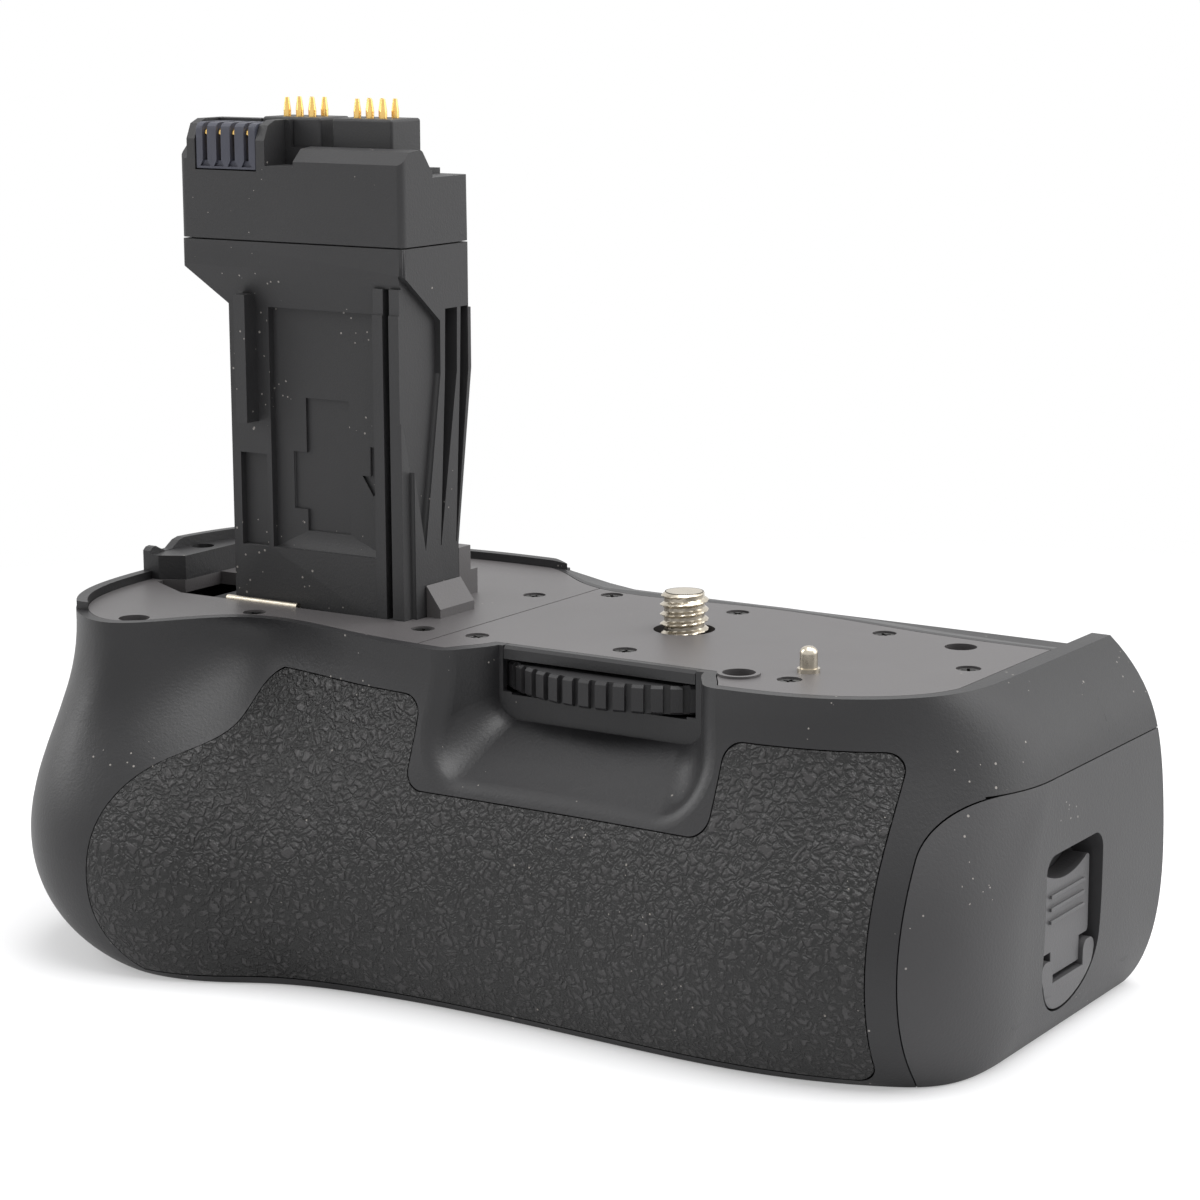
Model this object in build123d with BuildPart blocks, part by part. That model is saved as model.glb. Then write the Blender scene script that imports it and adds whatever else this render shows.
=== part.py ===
from build123d import *
import math
import os

os.makedirs("parts", exist_ok=True)

# A camera battery grip. The origin is where the axis of the attachment screw meets the
# seating plate. X runs along the body, away from the stem, Y away from the hand grip, Z up.

# Overall sizes
body_length = 140.0
body_depth = 75.0
body_drop = 45.3
wall = 2.2
split_from_axis = 12.0
cut_overrun = 1.0
skin_gap = 0.1

# Attachment screw, its wheel and the locating pin
screw_diameter = 6.35
screw_reach = 5.0
screw_neck_diameter = 4.9
screw_neck_drop = 0.4
screw_tip_chamfer = 0.8
screw_hole_diameter = 8.0
wheel_radius = 24.0
wheel_thickness = 3.6
wheel_rib_pitch = 2.45
wheel_rib_depth = 0.7
wheel_rib_share = 0.62
wheel_hub_radius = 8.0
wheel_web_recess = 0.9
wheel_rim_width = 5.0
wheel_gap = 0.4
shaft_diameter = 6.0
shaft_gap = 0.05
pin_diameter = 2.2
pin_reach = 3.2
pin_collar_diameter = 2.8
pin_collar_height = 0.5
pin_from_axis_x = 26.0
pin_from_axis_y = 13.8
pin_root = 5.0

# Seating plate and stem panel
plate_thickness = 1.8
plate_margin = 1.6
plate_seam_from_axis = 24.0
plate_end_from_axis = 45.6
plate_back_from_axis = 17.3
plate_back_corner = 13.2
lip_height = 1.1
lip_thickness = 1.3
lip_end_share = -0.52
lip_front_share = 0.42
lip_taper_from_axis = 38.0
ledge_width = 1.8
ledge_depth = 2.0
shelf_drop = 1.8
shelf_width = 8.5
shelf_margin = 0.9

# Wheel window and finger scoop
window_wall_from_axis = 20.7
window_width = 28.4
window_top = 1.7
window_height = 4.2
scoop_left = 14.8
scoop_right = 15.4
scoop_reach = 10.0
scoop_flare_width = 4.4
scoop_wall_drop = 9.4
scoop_lip_drop = 15.6
scoop_corner_radius = 3.0
scoop_edge_radius = 3.2
guard_thickness = 1.3
guard_chamfer_share = 0.3

# Battery packs, tray and chamber
battery_length = 55.2
battery_width = 37.1
battery_height = 14.9
battery_gap = 0.15
tray_wall = 1.4
tray_edge_share = 0.8
tray_grip_share = 0.7
tray_web = 1.2
tray_gap = 0.25
chamber_wall = 1.4
chamber_drop = 9.8
chamber_centre_y = 3.0
contact_space = 1.2

# Magazine cap and its latch
cap_seam_from_axis = 47.2
cap_seam_drop = 11.3
cap_seam_radius = 6.0
cap_gap = 0.15
end_wall = 2.4
latch_width = 16.4
latch_top_drop = 20.6
latch_height = 21.2
latch_centre_y = 0.4
latch_depth = 4.2
latch_gap = 0.25
latch_corner_radius = 2.4
latch_ear_radius = 1.4
latch_plate_recess = 0.6

# Stem, the size of one battery pack
stem_width = 36.7
stem_depth = 14.9
stem_right_from_axis = 32.9
stem_front_from_axis = 15.2
stem_seam = 48.7
stem_seam_gap = 0.3
stem_head_height = 12.3

# Rubber skins
rubber_thickness = 1.0
rubber_top_drop = 6.0
rubber_bottom_rise = 0.8
rubber_right_from_axis = 44.0
rear_rubber_left_from_axis = 40.0
rear_rubber_right_from_axis = 8.0
rear_rubber_top_drop = 13.0
rear_rubber_height = 24.0
rubber_corner_radius = 2.6
rubber_seam = 0.15

# Shutter corner, its button and the dial
shutter_seam_from_axis = 63.0
shutter_seam_drop = 30.0
button_tilt = 38.0
shutter_button_from_axis = 78.2
shutter_button_drop = 40.5
shutter_button_y = -26.0
shutter_button_diameter = 10.6
shutter_button_proud = 0.9
shutter_button_travel = 1.0
shutter_seat_margin = 1.2
button_gap = 0.15
button_flange = 0.8
button_flange_thickness = 0.7
dial_radius = 8.2
dial_thickness = 5.6
dial_from_axis = 75.2
dial_drop = 35.8
dial_y = -7.0
dial_gap = 0.4
dial_shaft_diameter = 2.4
dial_rib_count = 32
dial_rib_depth = 0.5
dial_cheek_thickness = 2.0
dial_cheek_share = 1.2

# Rear controls
control_left_from_axis = 66.0
control_right_from_axis = 43.0
control_top_drop = 9.5
control_height = 25.0
control_face_y = 24.2
control_wall = 2.0
control_corner_radius = 3.0
rear_button_diameter = 5.4
rear_button_proud = 1.1
rear_button_drop = 13.6
rear_button_pitch = 7.2
rear_button_travel = 0.6
switch_radius = 5.2
switch_thickness = 1.6
switch_lever_length = 8.4
switch_lever_width = 3.4
switch_drop = 26.0
switch_shaft_diameter = 3.0

# Circuit boards
board_thickness = 1.2
board_y = 16.5
board_left_from_axis = 62.0
board_right_from_axis = 45.0
board_top_drop = 11.0
board_height = 22.0
board_post_diameter = 2.4

# Tripod bush in the underside
tripod_from_axis = 25.0
tripod_bore_diameter = 6.35
tripod_bush_diameter = 10.0
tripod_flange_diameter = 13.0
tripod_flange_thickness = 1.0
tripod_bush_length = 6.2
tripod_boss_wall = 1.8

# Screws
screw_head_diameter = 2.9
screw_head_height = 0.7
screw_shank_diameter = 1.5
screw_head_recess = 0.2
screw_seat_gap = 0.1

# Fits and small sizes of the plates
plate_fit = 0.1
stem_fit = 0.15
round_hole_diameter = 4.1
round_hole_ring = 0.6
door_pocket_front = 2.0
door_pocket_side = 2.5
door_pocket_corner = (7.9, 4.3)
bearing_radius = 4.5
bearing_flange_radius = 6.0
bearing_flange_thickness = 1.15
bearing_wheel_gap = 0.1
bearing_end_gap = 0.3
pin_round_share = 0.8

# Places of screws and round holes: shares of the plate's end and back distances, and of the
# body's length and depth for the panel and the underside
plate_screw_shares = (
    (-0.447, -1.010), (-0.441, 0.820), (0.007, -0.860), (0.009, 0.750),
    (0.509, 0.647), (0.912, -0.110), (0.572, -1.080),
)
panel_screw_shares = ((-0.387, -0.276), (-0.206, -0.235), (-0.208, 0.115))
base_screw_shares = ((-0.300, -0.300), (0.240, -0.280), (-0.300, 0.240), (0.240, 0.250))
right_hole_place = (0.772 * plate_end_from_axis, 0.514 * plate_back_from_axis)
front_hole_place = (0.430 * plate_end_from_axis, -1.133 * plate_back_from_axis)
left_hole_place = (-0.466 * body_length, -0.428 * body_depth)

# Tray contacts
tray_contact_count = 2
tray_contact_share = 0.22
tray_contact_fill = 0.7
tray_contact_reach = 0.4
chamber_contact_reach = 0.43

# Latch slider and the plate under it
slider_width = 14.0
slider_recess = 1.1
slider_height_shares = (0.132, 0.604, 0.75)
slider_scallop_share = 0.88
slider_scallop_depth = 1.3
slider_corner_radius = 0.6
slider_tail_share = 0.614
slider_rib_count = 3
slider_rib_pitch = 1.6
slider_rib_start = 2.9
slider_rib_share = 0.72
slider_rib_fill = 0.3
slider_rib_rise = 0.35
latch_end_gap = 0.8
latch_plate_top_share = 0.637

# Details of the controls
shutter_collar_depth = 1.8
shutter_edge_radius = 0.5
control_edge_radius = 0.4
rear_tail_diameter = 2.0
switch_gap = 0.05
switch_collar_diameter = 5.2
switch_collar_thickness = 0.7
switch_tip_rise = 1.0
switch_tip_share = 0.4
board_post_shares = ((0.05, 0.40), (0.95, 0.40), (0.05, 0.95), (0.95, 0.95))

# Contact block and blades in the stem head
contact_slot_width = 1.6
contact_foot_share = 0.16
contact_blade_front_share = 0.09
contact_blade_top_share = 1.10
contact_blade_radius = 0.25
pin_collar_share = 0.35
pin_tip_share = 0.55

# Battery door holder beside the stem, and the rod in front of it
holder_right_from_axis = 76.7
holder_front_from_axis = 9.7
holder_back_from_axis = 9.0
holder_height = 3.4
holder_corner = (3.4, 1.8)
holder_front_gap = 0.2
holder_wall_thickness = 1.3
holder_wall_height = 4.8
holder_screw_place = (-79.7, -0.5)
holder_screw_diameter = 3.2
holder_screw_depth = 1.2
rod_radius = 0.5
rod_shares = (0.831, 0.504)
gusset_reach = 2.2
gusset_heights = (1.2, 4.2)
gusset_depth_shares = (0.26, 0.78)
post_right_from_axis = 36.9
post_length = 4.0
post_front_from_axis = 2.0
post_depths = (2.7, 4.3)
post_heights = (6.8, 3.4)

# Stem column values
stem_core_share = 0.826
stem_core_inset = 1.8
stem_column_top = 48.5
stem_flange_margin = 2.2
stem_flange_thickness = 1.5
stem_edge_radius = 0.8
stem_ridge_front = 0.2
stem_flap_reach = 0.7
stem_recess_depth = 1.0
stem_slot_depths = (2.6, 2.6, 0.9)
stem_groove_depth = 3.0
stem_back_taper = 3.4

# Places on the stem: shares of its width from its right side, of its depth from its front and of
# its height to the seam
stem_ridge_shares = ((0.139, 0.095), (0.068, 0.019))
stem_ridge_top_share = 0.889
stem_flap_shares = ((0.749, 0.698), (0.501, 0.852))
stem_recess_shares = ((0.643, 0.144), (0.154, 0.817))
stem_low_recess_shares = ((0.787, 0.665), (0.152, 0.411))
stem_flare_shares = ((0.826, 0.820), (1.0, 0.926))
stem_slot_shares = (
    ((0.846, 0.825), (0.955, 0.825), (0.955, 0.653), (0.745, 0.185), (0.735, 0.185), (0.826, 0.653)),
    ((0.611, 0.825), (0.792, 0.825), (0.779, 0.653), (0.510, 0.185), (0.500, 0.185), (0.597, 0.653)),
    ((-0.1, 0.926), (0.0, 0.926), (0.535, 0.795), (0.530, 0.653), (0.275, 0.180), (0.05, 0.50), (-0.1, 0.60)),
)
stem_taper_height_shares = (0.179, 0.655)


# Stem head, its contact block and its two pin blocks
head_seam_depth = 1.0
head_wall = 1.6
head_edge_radius = 0.9
head_board_thickness = 1.0
contact_block_gap = 0.15
contact_slot_count = 4
contact_blade_thickness = 0.5
contact_pitch_share = 0.024
pin_block_gap = 0.15
pin_block_radius = 0.8
pin_block_root = 1.6
contact_pin_radius = 0.5
contact_pin_gap = 0.05
contact_pin_pitch_x = 2.1
contact_pin_pitch_y = 2.6
contact_pin_columns = 3
contact_pin_rows = 2
contact_pin_reach = 2.5
contact_pin_travel = 1.0

# The head's profile seen from the right, in shares of the stem's depth and the head's height
head_profile_shares = [
    (0.0, 0.0), (0.0, 0.85), (0.114, 0.98), (0.295, 1.0), (0.43, 0.777), (0.993, 0.76), (1.0, 0.06),
    (1.0, 0.0),
]
# Housing of the contact block, seen from the right, and its shares along the stem
contact_housing_shares = [
    (0.0, 0.3), (0.0, 1.06), (0.06, 1.22), (0.16, 1.27), (0.50, 1.27), (0.62, 1.18), (0.72, 0.76),
    (0.72, 0.3),
]
contact_housing_span = (0.962, 0.580)
contact_block_span = (0.921, 0.648)
contact_block_height = (0.745, 1.24)
contact_block_depth_share = 0.34
head_notch_span = (0.605, 0.477)
head_notch_height = (0.795, 1.5)
head_notch_depth_share = 0.30
head_rear_step_span = (0.125, -0.05)
head_rear_step_depths = (0.45, 1.05)
head_rear_step_heights = (0.70, 1.0)
pin_block_spans = ((0.725, 0.460), (0.409, 0.144))
pin_block_depth_shares = (0.35, 0.785)
pin_block_top_share = 1.295

# Outlines of the body at its rim, its widest level and its foot, seen from above. Each runs from
# the middle of the back round the stem end and the front to the right end, in shares of the
# body's length and depth. The back outlines run on from the right end.
rim_front_shares = [
    (-0.143, 0.357), (-0.243, 0.371), (-0.300, 0.377), (-0.471, 0.323), (-0.557, 0.180),
    (-0.591, -0.173), (-0.529, -0.443), (-0.475, -0.483), (-0.414, -0.373), (-0.386, -0.325),
    (-0.257, -0.340), (0.071, -0.363), (0.261, -0.328), (0.314, -0.253), (0.344, -0.040),
]
belly_front_shares = [
    (-0.143, 0.371), (-0.243, 0.381), (-0.300, 0.389), (-0.471, 0.333), (-0.564, 0.187),
    (-0.611, -0.173), (-0.575, -0.487), (-0.514, -0.587), (-0.368, -0.571), (-0.314, -0.520),
    (-0.214, -0.472), (0.071, -0.461), (0.271, -0.453), (0.339, -0.407), (0.395, -0.173),
]
foot_front_shares = [
    (-0.143, 0.328), (-0.243, 0.331), (-0.300, 0.328), (-0.436, 0.259), (-0.496, 0.140),
    (-0.527, -0.160), (-0.493, -0.427), (-0.450, -0.515), (-0.346, -0.515), (-0.300, -0.472),
    (-0.207, -0.427), (0.071, -0.420), (0.257, -0.397), (0.318, -0.357), (0.370, -0.160),
]
rim_back_shares = [(0.344, 0.339), (0.214, 0.347), (0.036, 0.353)]
belly_back_shares = [(0.395, 0.371), (0.229, 0.371), (0.036, 0.371)]
foot_back_shares = [(0.370, 0.325), (0.214, 0.328), (0.036, 0.328)]
first_end_station = 12

# Levels of the body: how far down, how far towards the widest outline at the front and at the
# right end, and how far towards the foot.
level_shares = [
    (0.00, 0.00, 0.00, 0.00),
    (0.20, 0.18, 0.85, 0.00),
    (0.42, 0.72, 1.00, 0.00),
    (0.64, 1.00, 1.00, 0.00),
    (0.84, 1.00, 1.00, 0.20),
    (1.00, 1.00, 1.00, 1.00),
]


def station(rim, belly, foot, level, is_end):
    _, belly_share, end_share, foot_share = level
    x = rim[0] + (belly[0] - rim[0]) * (end_share if is_end else belly_share)
    y = rim[1] + (belly[1] - rim[1]) * belly_share
    x += (foot[0] - x) * foot_share
    y += (foot[1] - y) * foot_share
    return (x * body_length, y * body_depth)


def moved_in(points, distance):
    moved = []
    for index, (x, y) in enumerate(points):
        before = points[index - 1]
        after = points[(index + 1) % len(points)]
        run = (after[0] - before[0], after[1] - before[1])
        size = math.hypot(*run)
        moved.append((x - run[1] / size * distance, y + run[0] / size * distance))
    return moved


def outline_points(level, distance):
    front_rows = zip(rim_front_shares, belly_front_shares, foot_front_shares)
    back_rows = zip(rim_back_shares, belly_back_shares, foot_back_shares)
    front = [station(*row, level, index >= first_end_station) for index, row in enumerate(front_rows)]
    back = [station(*row, level, True) for row in back_rows]
    if distance:
        corner = (back[0][0] - distance, back[0][1] - distance)
        moved = moved_in(front + back, distance)
        front = moved[:len(front) - 1] + [(corner[0], moved[len(front) - 1][1])]
        back = [corner] + moved[len(front) + 1:]
    return front, back


def outline_edges(level, distance):
    front, back = outline_points(level, distance)
    back_run = (back[1][0] - back[0][0], back[1][1] - back[0][1])
    Spline(*front, tangents=[(-1, 0), (0, 1)])
    Line(front[-1], back[0])
    Spline(*back, front[0], tangents=[back_run, (-1, 0)])


def body_form(distance):
    with BuildPart() as form:
        for level in level_shares:
            with BuildSketch(Plane.XY.offset(-level[0] * body_drop)):
                with BuildLine():
                    outline_edges(level, distance)
                make_face()
        loft()
    return form.part


def block(x_range, y_range, z_range):
    """A plain block between two values on each axis, kept apart until it is used."""
    size = [high - low for low, high in (x_range, y_range, z_range)]
    middle = [(high + low) / 2 for low, high in (x_range, y_range, z_range)]
    return Pos(*middle) * Box(*size, mode=Mode.PRIVATE)


def rim_prism(distance, top, bottom):
    with BuildPart() as prism:
        with BuildSketch(Plane.XY.offset(bottom)):
            with BuildLine():
                outline_edges(level_shares[0], distance)
            make_face()
        extrude(amount=top - bottom)
    return prism.part


def write(part, name):
    part.label = name
    export_step(part, f"parts/{name}.step")


# Places worked out from the sizes above
far = body_length
floor_z = -body_drop
floor_top_z = floor_z + wall
wheel_top_z = -plate_thickness - wheel_gap
wheel_bottom_z = wheel_top_z - wheel_thickness
bay_length = battery_length + 2 * battery_gap
bay_width = battery_width + 2 * battery_gap
bay_height = battery_height + battery_gap
tray_length = bay_length + 2 * tray_wall
tray_width = bay_width + 2 * tray_wall
tray_height = 2 * bay_height + tray_web
chamber_width = tray_width + 2 * tray_gap
chamber_top_z = -chamber_drop
tray_top_z = chamber_top_z - chamber_wall - tray_gap
tray_bottom_z = tray_top_z - tray_height
tray_right_x = cap_seam_from_axis + cap_gap
tray_left_x = tray_right_x - tray_length
end_wall_left_x = cap_seam_from_axis - end_wall
chamber_left_x = tray_left_x - contact_space - chamber_wall
chamber_front_y = chamber_centre_y - chamber_width / 2 - chamber_wall
chamber_back_y = chamber_centre_y + chamber_width / 2 + chamber_wall
stem_right_x = -stem_right_from_axis
stem_left_x = stem_right_x - stem_width
stem_front_y = -stem_front_from_axis
stem_back_y = stem_front_y + stem_depth
holder_right_x = -holder_right_from_axis
holder_front_y = -holder_front_from_axis

outer_form = body_form(0)
inner_form = body_form(wall)
skin_form = body_form(rubber_thickness)

# Region of the plates, seen from above: the S-shaped back edge behind the stem
lobe_back_y = body_depth / 2
panel_back_points = [
    (-0.300 * body_length, lobe_back_y),
    (-0.300 * body_length, 0.366 * body_depth),
    (-0.257 * body_length, 0.339 * body_depth),
    (-0.206 * body_length, 0.265 * body_depth),
    (-plate_seam_from_axis, plate_back_from_axis),
]
plate_back_points = [
    (0, plate_back_from_axis),
    (0.100 * body_length, plate_back_from_axis - 0.22 * (plate_back_from_axis - plate_back_corner)),
    (0.193 * body_length, plate_back_corner + 0.25 * (plate_back_from_axis - plate_back_corner)),
    (0.264 * body_length, plate_back_corner + 0.03 * (plate_back_from_axis - plate_back_corner)),
    (plate_end_from_axis, plate_back_corner),
]


def plate_region(margin):
    """The plates' region without the front limit, as a face on the plate's own plane."""
    with BuildSketch() as region:
        with BuildLine():
            upper = [(x, y + margin) for x, y in panel_back_points[1:] + plate_back_points[:-1]]
            last = (plate_end_from_axis + margin, plate_back_corner + margin)
            Polyline((-far, -far), (-far, lobe_back_y), panel_back_points[0], upper[0])
            Spline(*upper, last)
            Polyline(last, (plate_end_from_axis + margin, -far), (-far, -far))
        make_face()
    return region.sketch


# Casing blank: the body's form, its raised lip, the sloping shelf behind the plate and the scoop
with BuildPart() as shelf_cut:
    for drop, reach in ((0, 0), (shelf_drop, shelf_width)):
        with BuildSketch(Plane.XY.offset(-drop)):
            with BuildLine():
                edge = [(x, y + shelf_margin + reach) for x, y in panel_back_points[2:] + plate_back_points]
                Polyline((edge[0][0], far), *edge, (edge[-1][0], far), close=True)
            make_face()
    loft(ruled=True)


# The scoop's sections from its back wall outwards: shares of its reach, of its flare, of its drop
# below the back wall, and of its corner radius
scoop_section_shares = (
    (0.00, 0.00, 0.00, 1.00), (0.22, 0.20, 0.13, 1.17), (0.55, 0.68, 0.53, 1.50),
    (1.00, 1.00, 1.00, 1.67), (2.50, 1.27, 2.34, 1.67),
)


def scoop_solid(grow):
    """The finger scoop under the wheel window, grown by a wall where that is asked."""
    with BuildPart() as scoop:
        for reach, flare, drop, corner in scoop_section_shares:
            section_y = -window_wall_from_axis + grow - reach * scoop_reach
            left_x = -scoop_left - flare * scoop_flare_width - grow
            right_x = scoop_right + flare * scoop_flare_width + grow
            low_z = -scoop_wall_drop - drop * (scoop_lip_drop - scoop_wall_drop) - grow
            with BuildSketch(Plane.XZ.offset(-section_y)):
                with BuildLine():
                    FilletPolyline(
                        (left_x, cut_overrun), (left_x, low_z), (right_x, low_z), (right_x, cut_overrun),
                        radius=corner * scoop_corner_radius + grow,
                    )
                    Line((left_x, cut_overrun), (right_x, cut_overrun))
                make_face()
        loft()
    return scoop.part


# Body with the scoop, whose outer edge is well rounded
with BuildPart() as scooped:
    add(outer_form)
    add(scoop_solid(0), mode=Mode.SUBTRACT)
    mouth_reach = scoop_right + 2 * scoop_flare_width
    mouth_edges = edges().filter_by_position(Axis.X, -mouth_reach, mouth_reach)
    mouth_edges = mouth_edges.filter_by_position(Axis.Z, -body_drop / 2, -cut_overrun)
    outside_y = -window_wall_from_axis - scoop_reach / 2
    fillet([edge for edge in mouth_edges if edge.bounding_box().max.Y < outside_y], scoop_edge_radius)
scooped_form = scooped.part

with BuildPart() as lip:
    with BuildSketch(Plane.XY.offset(-plate_thickness)):
        add(plate_region(lip_thickness))
        add(plate_region(0), mode=Mode.SUBTRACT)
        with BuildLine():
            outline_edges(level_shares[0], skin_gap)
        make_face(mode=Mode.INTERSECT)
    extrude(amount=plate_thickness + lip_height)
    add(rim_prism(skin_gap, lip_height, -plate_thickness))
    add(rim_prism(plate_margin, lip_height, -plate_thickness), mode=Mode.SUBTRACT)
    with BuildSketch(Plane.XY.offset(-plate_thickness)):
        add(plate_region(lip_thickness))
    extrude(amount=plate_thickness + lip_height, mode=Mode.INTERSECT)
    lip_back = block((-far, -plate_seam_from_axis), (split_from_axis, far), (-far, far))
    lip_end = block((-far, lip_end_share * body_length), (-lip_front_share * body_depth, far), (-far, far))
    add(lip_back + lip_end, mode=Mode.INTERSECT)
    with BuildSketch(Plane.XZ):
        with BuildLine():
            Polyline(
                (-far, -plate_thickness), (-far, lip_height), (-lip_taper_from_axis, lip_height),
                (-plate_seam_from_axis, 0), (-plate_seam_from_axis, -plate_thickness), close=True,
            )
        make_face()
    extrude(amount=far, both=True, mode=Mode.INTERSECT)
    holder_zone = (holder_front_y - skin_gap, holder_back_from_axis + skin_gap)
    add(block((-far, holder_right_x), holder_zone, (0, far)), mode=Mode.SUBTRACT)

outer_blank = scooped_form + (lip.part - scoop_solid(0)) - shelf_cut.part


def cap_prism(gap):
    """Everything right of the cap's seam and below its top, as seen from the front."""
    seam_x = cap_seam_from_axis + gap
    seam_z = -cap_seam_drop - gap
    with BuildPart() as prism:
        with BuildSketch(Plane.XZ):
            with BuildLine():
                FilletPolyline((seam_x, -far), (seam_x, seam_z), (far, seam_z), radius=cap_seam_radius)
                Polyline((far, seam_z), (far, -far), (seam_x, -far))
            make_face()
        extrude(amount=far, both=True)
    return prism.part


# Front skin region, seen from the front, in shares of the body's length and drop
rubber_left_share = -0.335
rubber_left_shares = [
    (-0.352, 0.190), (-0.357, 0.278), (-0.400, 0.372), (-0.428, 0.455),
    (-0.444, 0.560), (-0.450, 0.690), (-0.446, 0.830), (-0.428, 0.930),
]
scoop_left_x = -scoop_left - scoop_flare_width
scoop_right_x = scoop_right + scoop_flare_width
rubber_scoop_drop = scoop_lip_drop + scoop_edge_radius / 2
rubber_bottom_z = floor_z + rubber_bottom_rise


def front_rubber_region(depth, margin):
    """Region of the front skin, drawn in by a margin where that is asked."""
    top_z = -rubber_top_drop - margin
    low_z = rubber_bottom_z + margin
    side_x = rubber_right_from_axis - margin
    notch_x = (scoop_left_x - rubber_corner_radius - margin, scoop_right_x + rubber_corner_radius + margin)
    notch_z = -rubber_scoop_drop - margin
    left = [(x * body_length + margin, -z * body_drop) for x, z in rubber_left_shares]
    with BuildPart() as region:
        with BuildSketch(Plane.XZ.offset(split_from_axis)):
            with BuildLine():
                foot = (left[-1][0] + rubber_corner_radius, low_z)
                Spline((rubber_left_share * body_length + margin, top_z), *left, foot)
                Polyline(
                    foot, (side_x, low_z), (side_x, top_z), (notch_x[1], top_z), (notch_x[1], notch_z),
                    (notch_x[0], notch_z), (notch_x[0], top_z),
                    (rubber_left_share * body_length + margin, top_z),
                )
            make_face()
            fillet(vertices().sort_by(Axis.X)[-6:], rubber_corner_radius)
        extrude(amount=depth)
    return region.part


front_pocket = (scooped_form - skin_form) & front_rubber_region(far, 0)
front_skin = (scooped_form - skin_form) & front_rubber_region(far, rubber_seam)


def rear_rubber_region(margin):
    """Region of the rear skin, drawn in by a margin where that is asked."""
    width = rear_rubber_left_from_axis - rear_rubber_right_from_axis - 2 * margin
    middle_x = -(rear_rubber_left_from_axis + rear_rubber_right_from_axis) / 2
    with BuildPart() as region:
        with BuildSketch(Plane.XZ.offset(-split_from_axis)):
            with Locations((middle_x, -rear_rubber_top_drop - rear_rubber_height / 2)):
                RectangleRounded(width, rear_rubber_height - 2 * margin, rubber_corner_radius)
        extrude(amount=-far)
    return region.part


rear_pocket = (outer_form - skin_form) & rear_rubber_region(0)
rear_skin = rear_pocket & rear_rubber_region(rubber_seam)

# Hollow of the body: the space for the parts inside, and the step that carries the plates
ledge_bottom_z = -plate_thickness - ledge_depth
control_x = (-control_left_from_axis, -control_right_from_axis)
control_z = (-control_top_drop - control_height, -control_top_drop)
with BuildPart() as hollow:
    add(inner_form & block((-far, end_wall_left_x), (-far, far), (floor_top_z, ledge_bottom_z)))
    add(scoop_solid(wall), mode=Mode.SUBTRACT)
    boss_x = (control_x[0] - wall, control_x[1] + wall)
    boss_z = (control_z[0] - wall, control_z[1] + wall)
    add(block(boss_x, (control_face_y - control_wall, far), boss_z), mode=Mode.SUBTRACT)
    with Locations((-tripod_from_axis, 0, floor_z)):
        Cylinder(tripod_flange_diameter / 2 + tripod_boss_wall / 2, tripod_bush_length + tripod_boss_wall,
                 align=(Align.CENTER, Align.CENTER, Align.MIN), mode=Mode.SUBTRACT)

with BuildPart() as plate_seat:
    with BuildSketch(Plane.XY.offset(-plate_thickness)):
        add(plate_region(0))
    extrude(amount=plate_thickness + cut_overrun)
    add(rim_prism(plate_margin, cut_overrun, -plate_thickness), mode=Mode.INTERSECT)
    add(scoop_solid(guard_thickness), mode=Mode.SUBTRACT)

with BuildPart() as ledge_step:
    with BuildSketch(Plane.XY.offset(ledge_bottom_z)):
        add(plate_region(-ledge_width))
    extrude(amount=ledge_depth)
    add(rim_prism(plate_margin + ledge_width, -plate_thickness, ledge_bottom_z), mode=Mode.INTERSECT)
    add(scoop_solid(wall), mode=Mode.SUBTRACT)

with BuildPart() as casing:
    add(outer_blank)
    add(hollow.part, mode=Mode.SUBTRACT)
    add(plate_seat.part, mode=Mode.SUBTRACT)
    add(ledge_step.part, mode=Mode.SUBTRACT)
    with Locations((0, 0, wheel_bottom_z - wheel_gap)):
        Cylinder(wheel_radius + wheel_gap, wheel_thickness + 2 * wheel_gap,
                 align=(Align.CENTER, Align.CENTER, Align.MIN), mode=Mode.SUBTRACT)
    window_z = (-window_top - window_height, cut_overrun)
    add(block((-window_width / 2, window_width / 2), (-window_wall_from_axis - wall, 0), window_z),
        mode=Mode.SUBTRACT)
    chamber_seat = block((chamber_left_x - skin_gap, end_wall_left_x),
                         (chamber_front_y - skin_gap, chamber_back_y + skin_gap),
                         (floor_top_z, chamber_top_z + skin_gap))
    add(chamber_seat, mode=Mode.SUBTRACT)
    mouth_y = (chamber_front_y + chamber_wall, chamber_back_y - chamber_wall)
    mouth_x = (end_wall_left_x - cut_overrun, far)
    add(block(mouth_x, mouth_y, (floor_top_z, -cap_seam_drop)), mode=Mode.SUBTRACT)
    add(cap_prism(0), mode=Mode.SUBTRACT)
    add(front_pocket, mode=Mode.SUBTRACT)
    add(rear_pocket, mode=Mode.SUBTRACT)

# Openings for the shutter button, the dial and the rear controls
button_angle = math.radians(button_tilt)
shutter_plane = Plane(
    origin=(-shutter_button_from_axis, shutter_button_y, -shutter_button_drop),
    x_dir=(0, 1, 0),
    z_dir=(-math.sin(button_angle), 0, -math.cos(button_angle)),
)
dial_plane = Plane(origin=(-dial_from_axis, dial_y, -dial_drop), x_dir=(1, 0, 0), z_dir=(0, -1, 0))
control_middle = ((control_x[0] + control_x[1]) / 2, (control_z[0] + control_z[1]) / 2)
control_width = control_left_from_axis - control_right_from_axis
rear_button_places = [(control_middle[0] + step * rear_button_pitch, -rear_button_drop) for step in (-1, 0, 1)]
switch_place = (control_middle[0], -switch_drop)
control_inside_y = control_face_y - control_wall
button_radius = shutter_button_diameter / 2
seat_radius = button_radius + shutter_seat_margin
flange_depth = shutter_collar_depth + skin_gap


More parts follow.
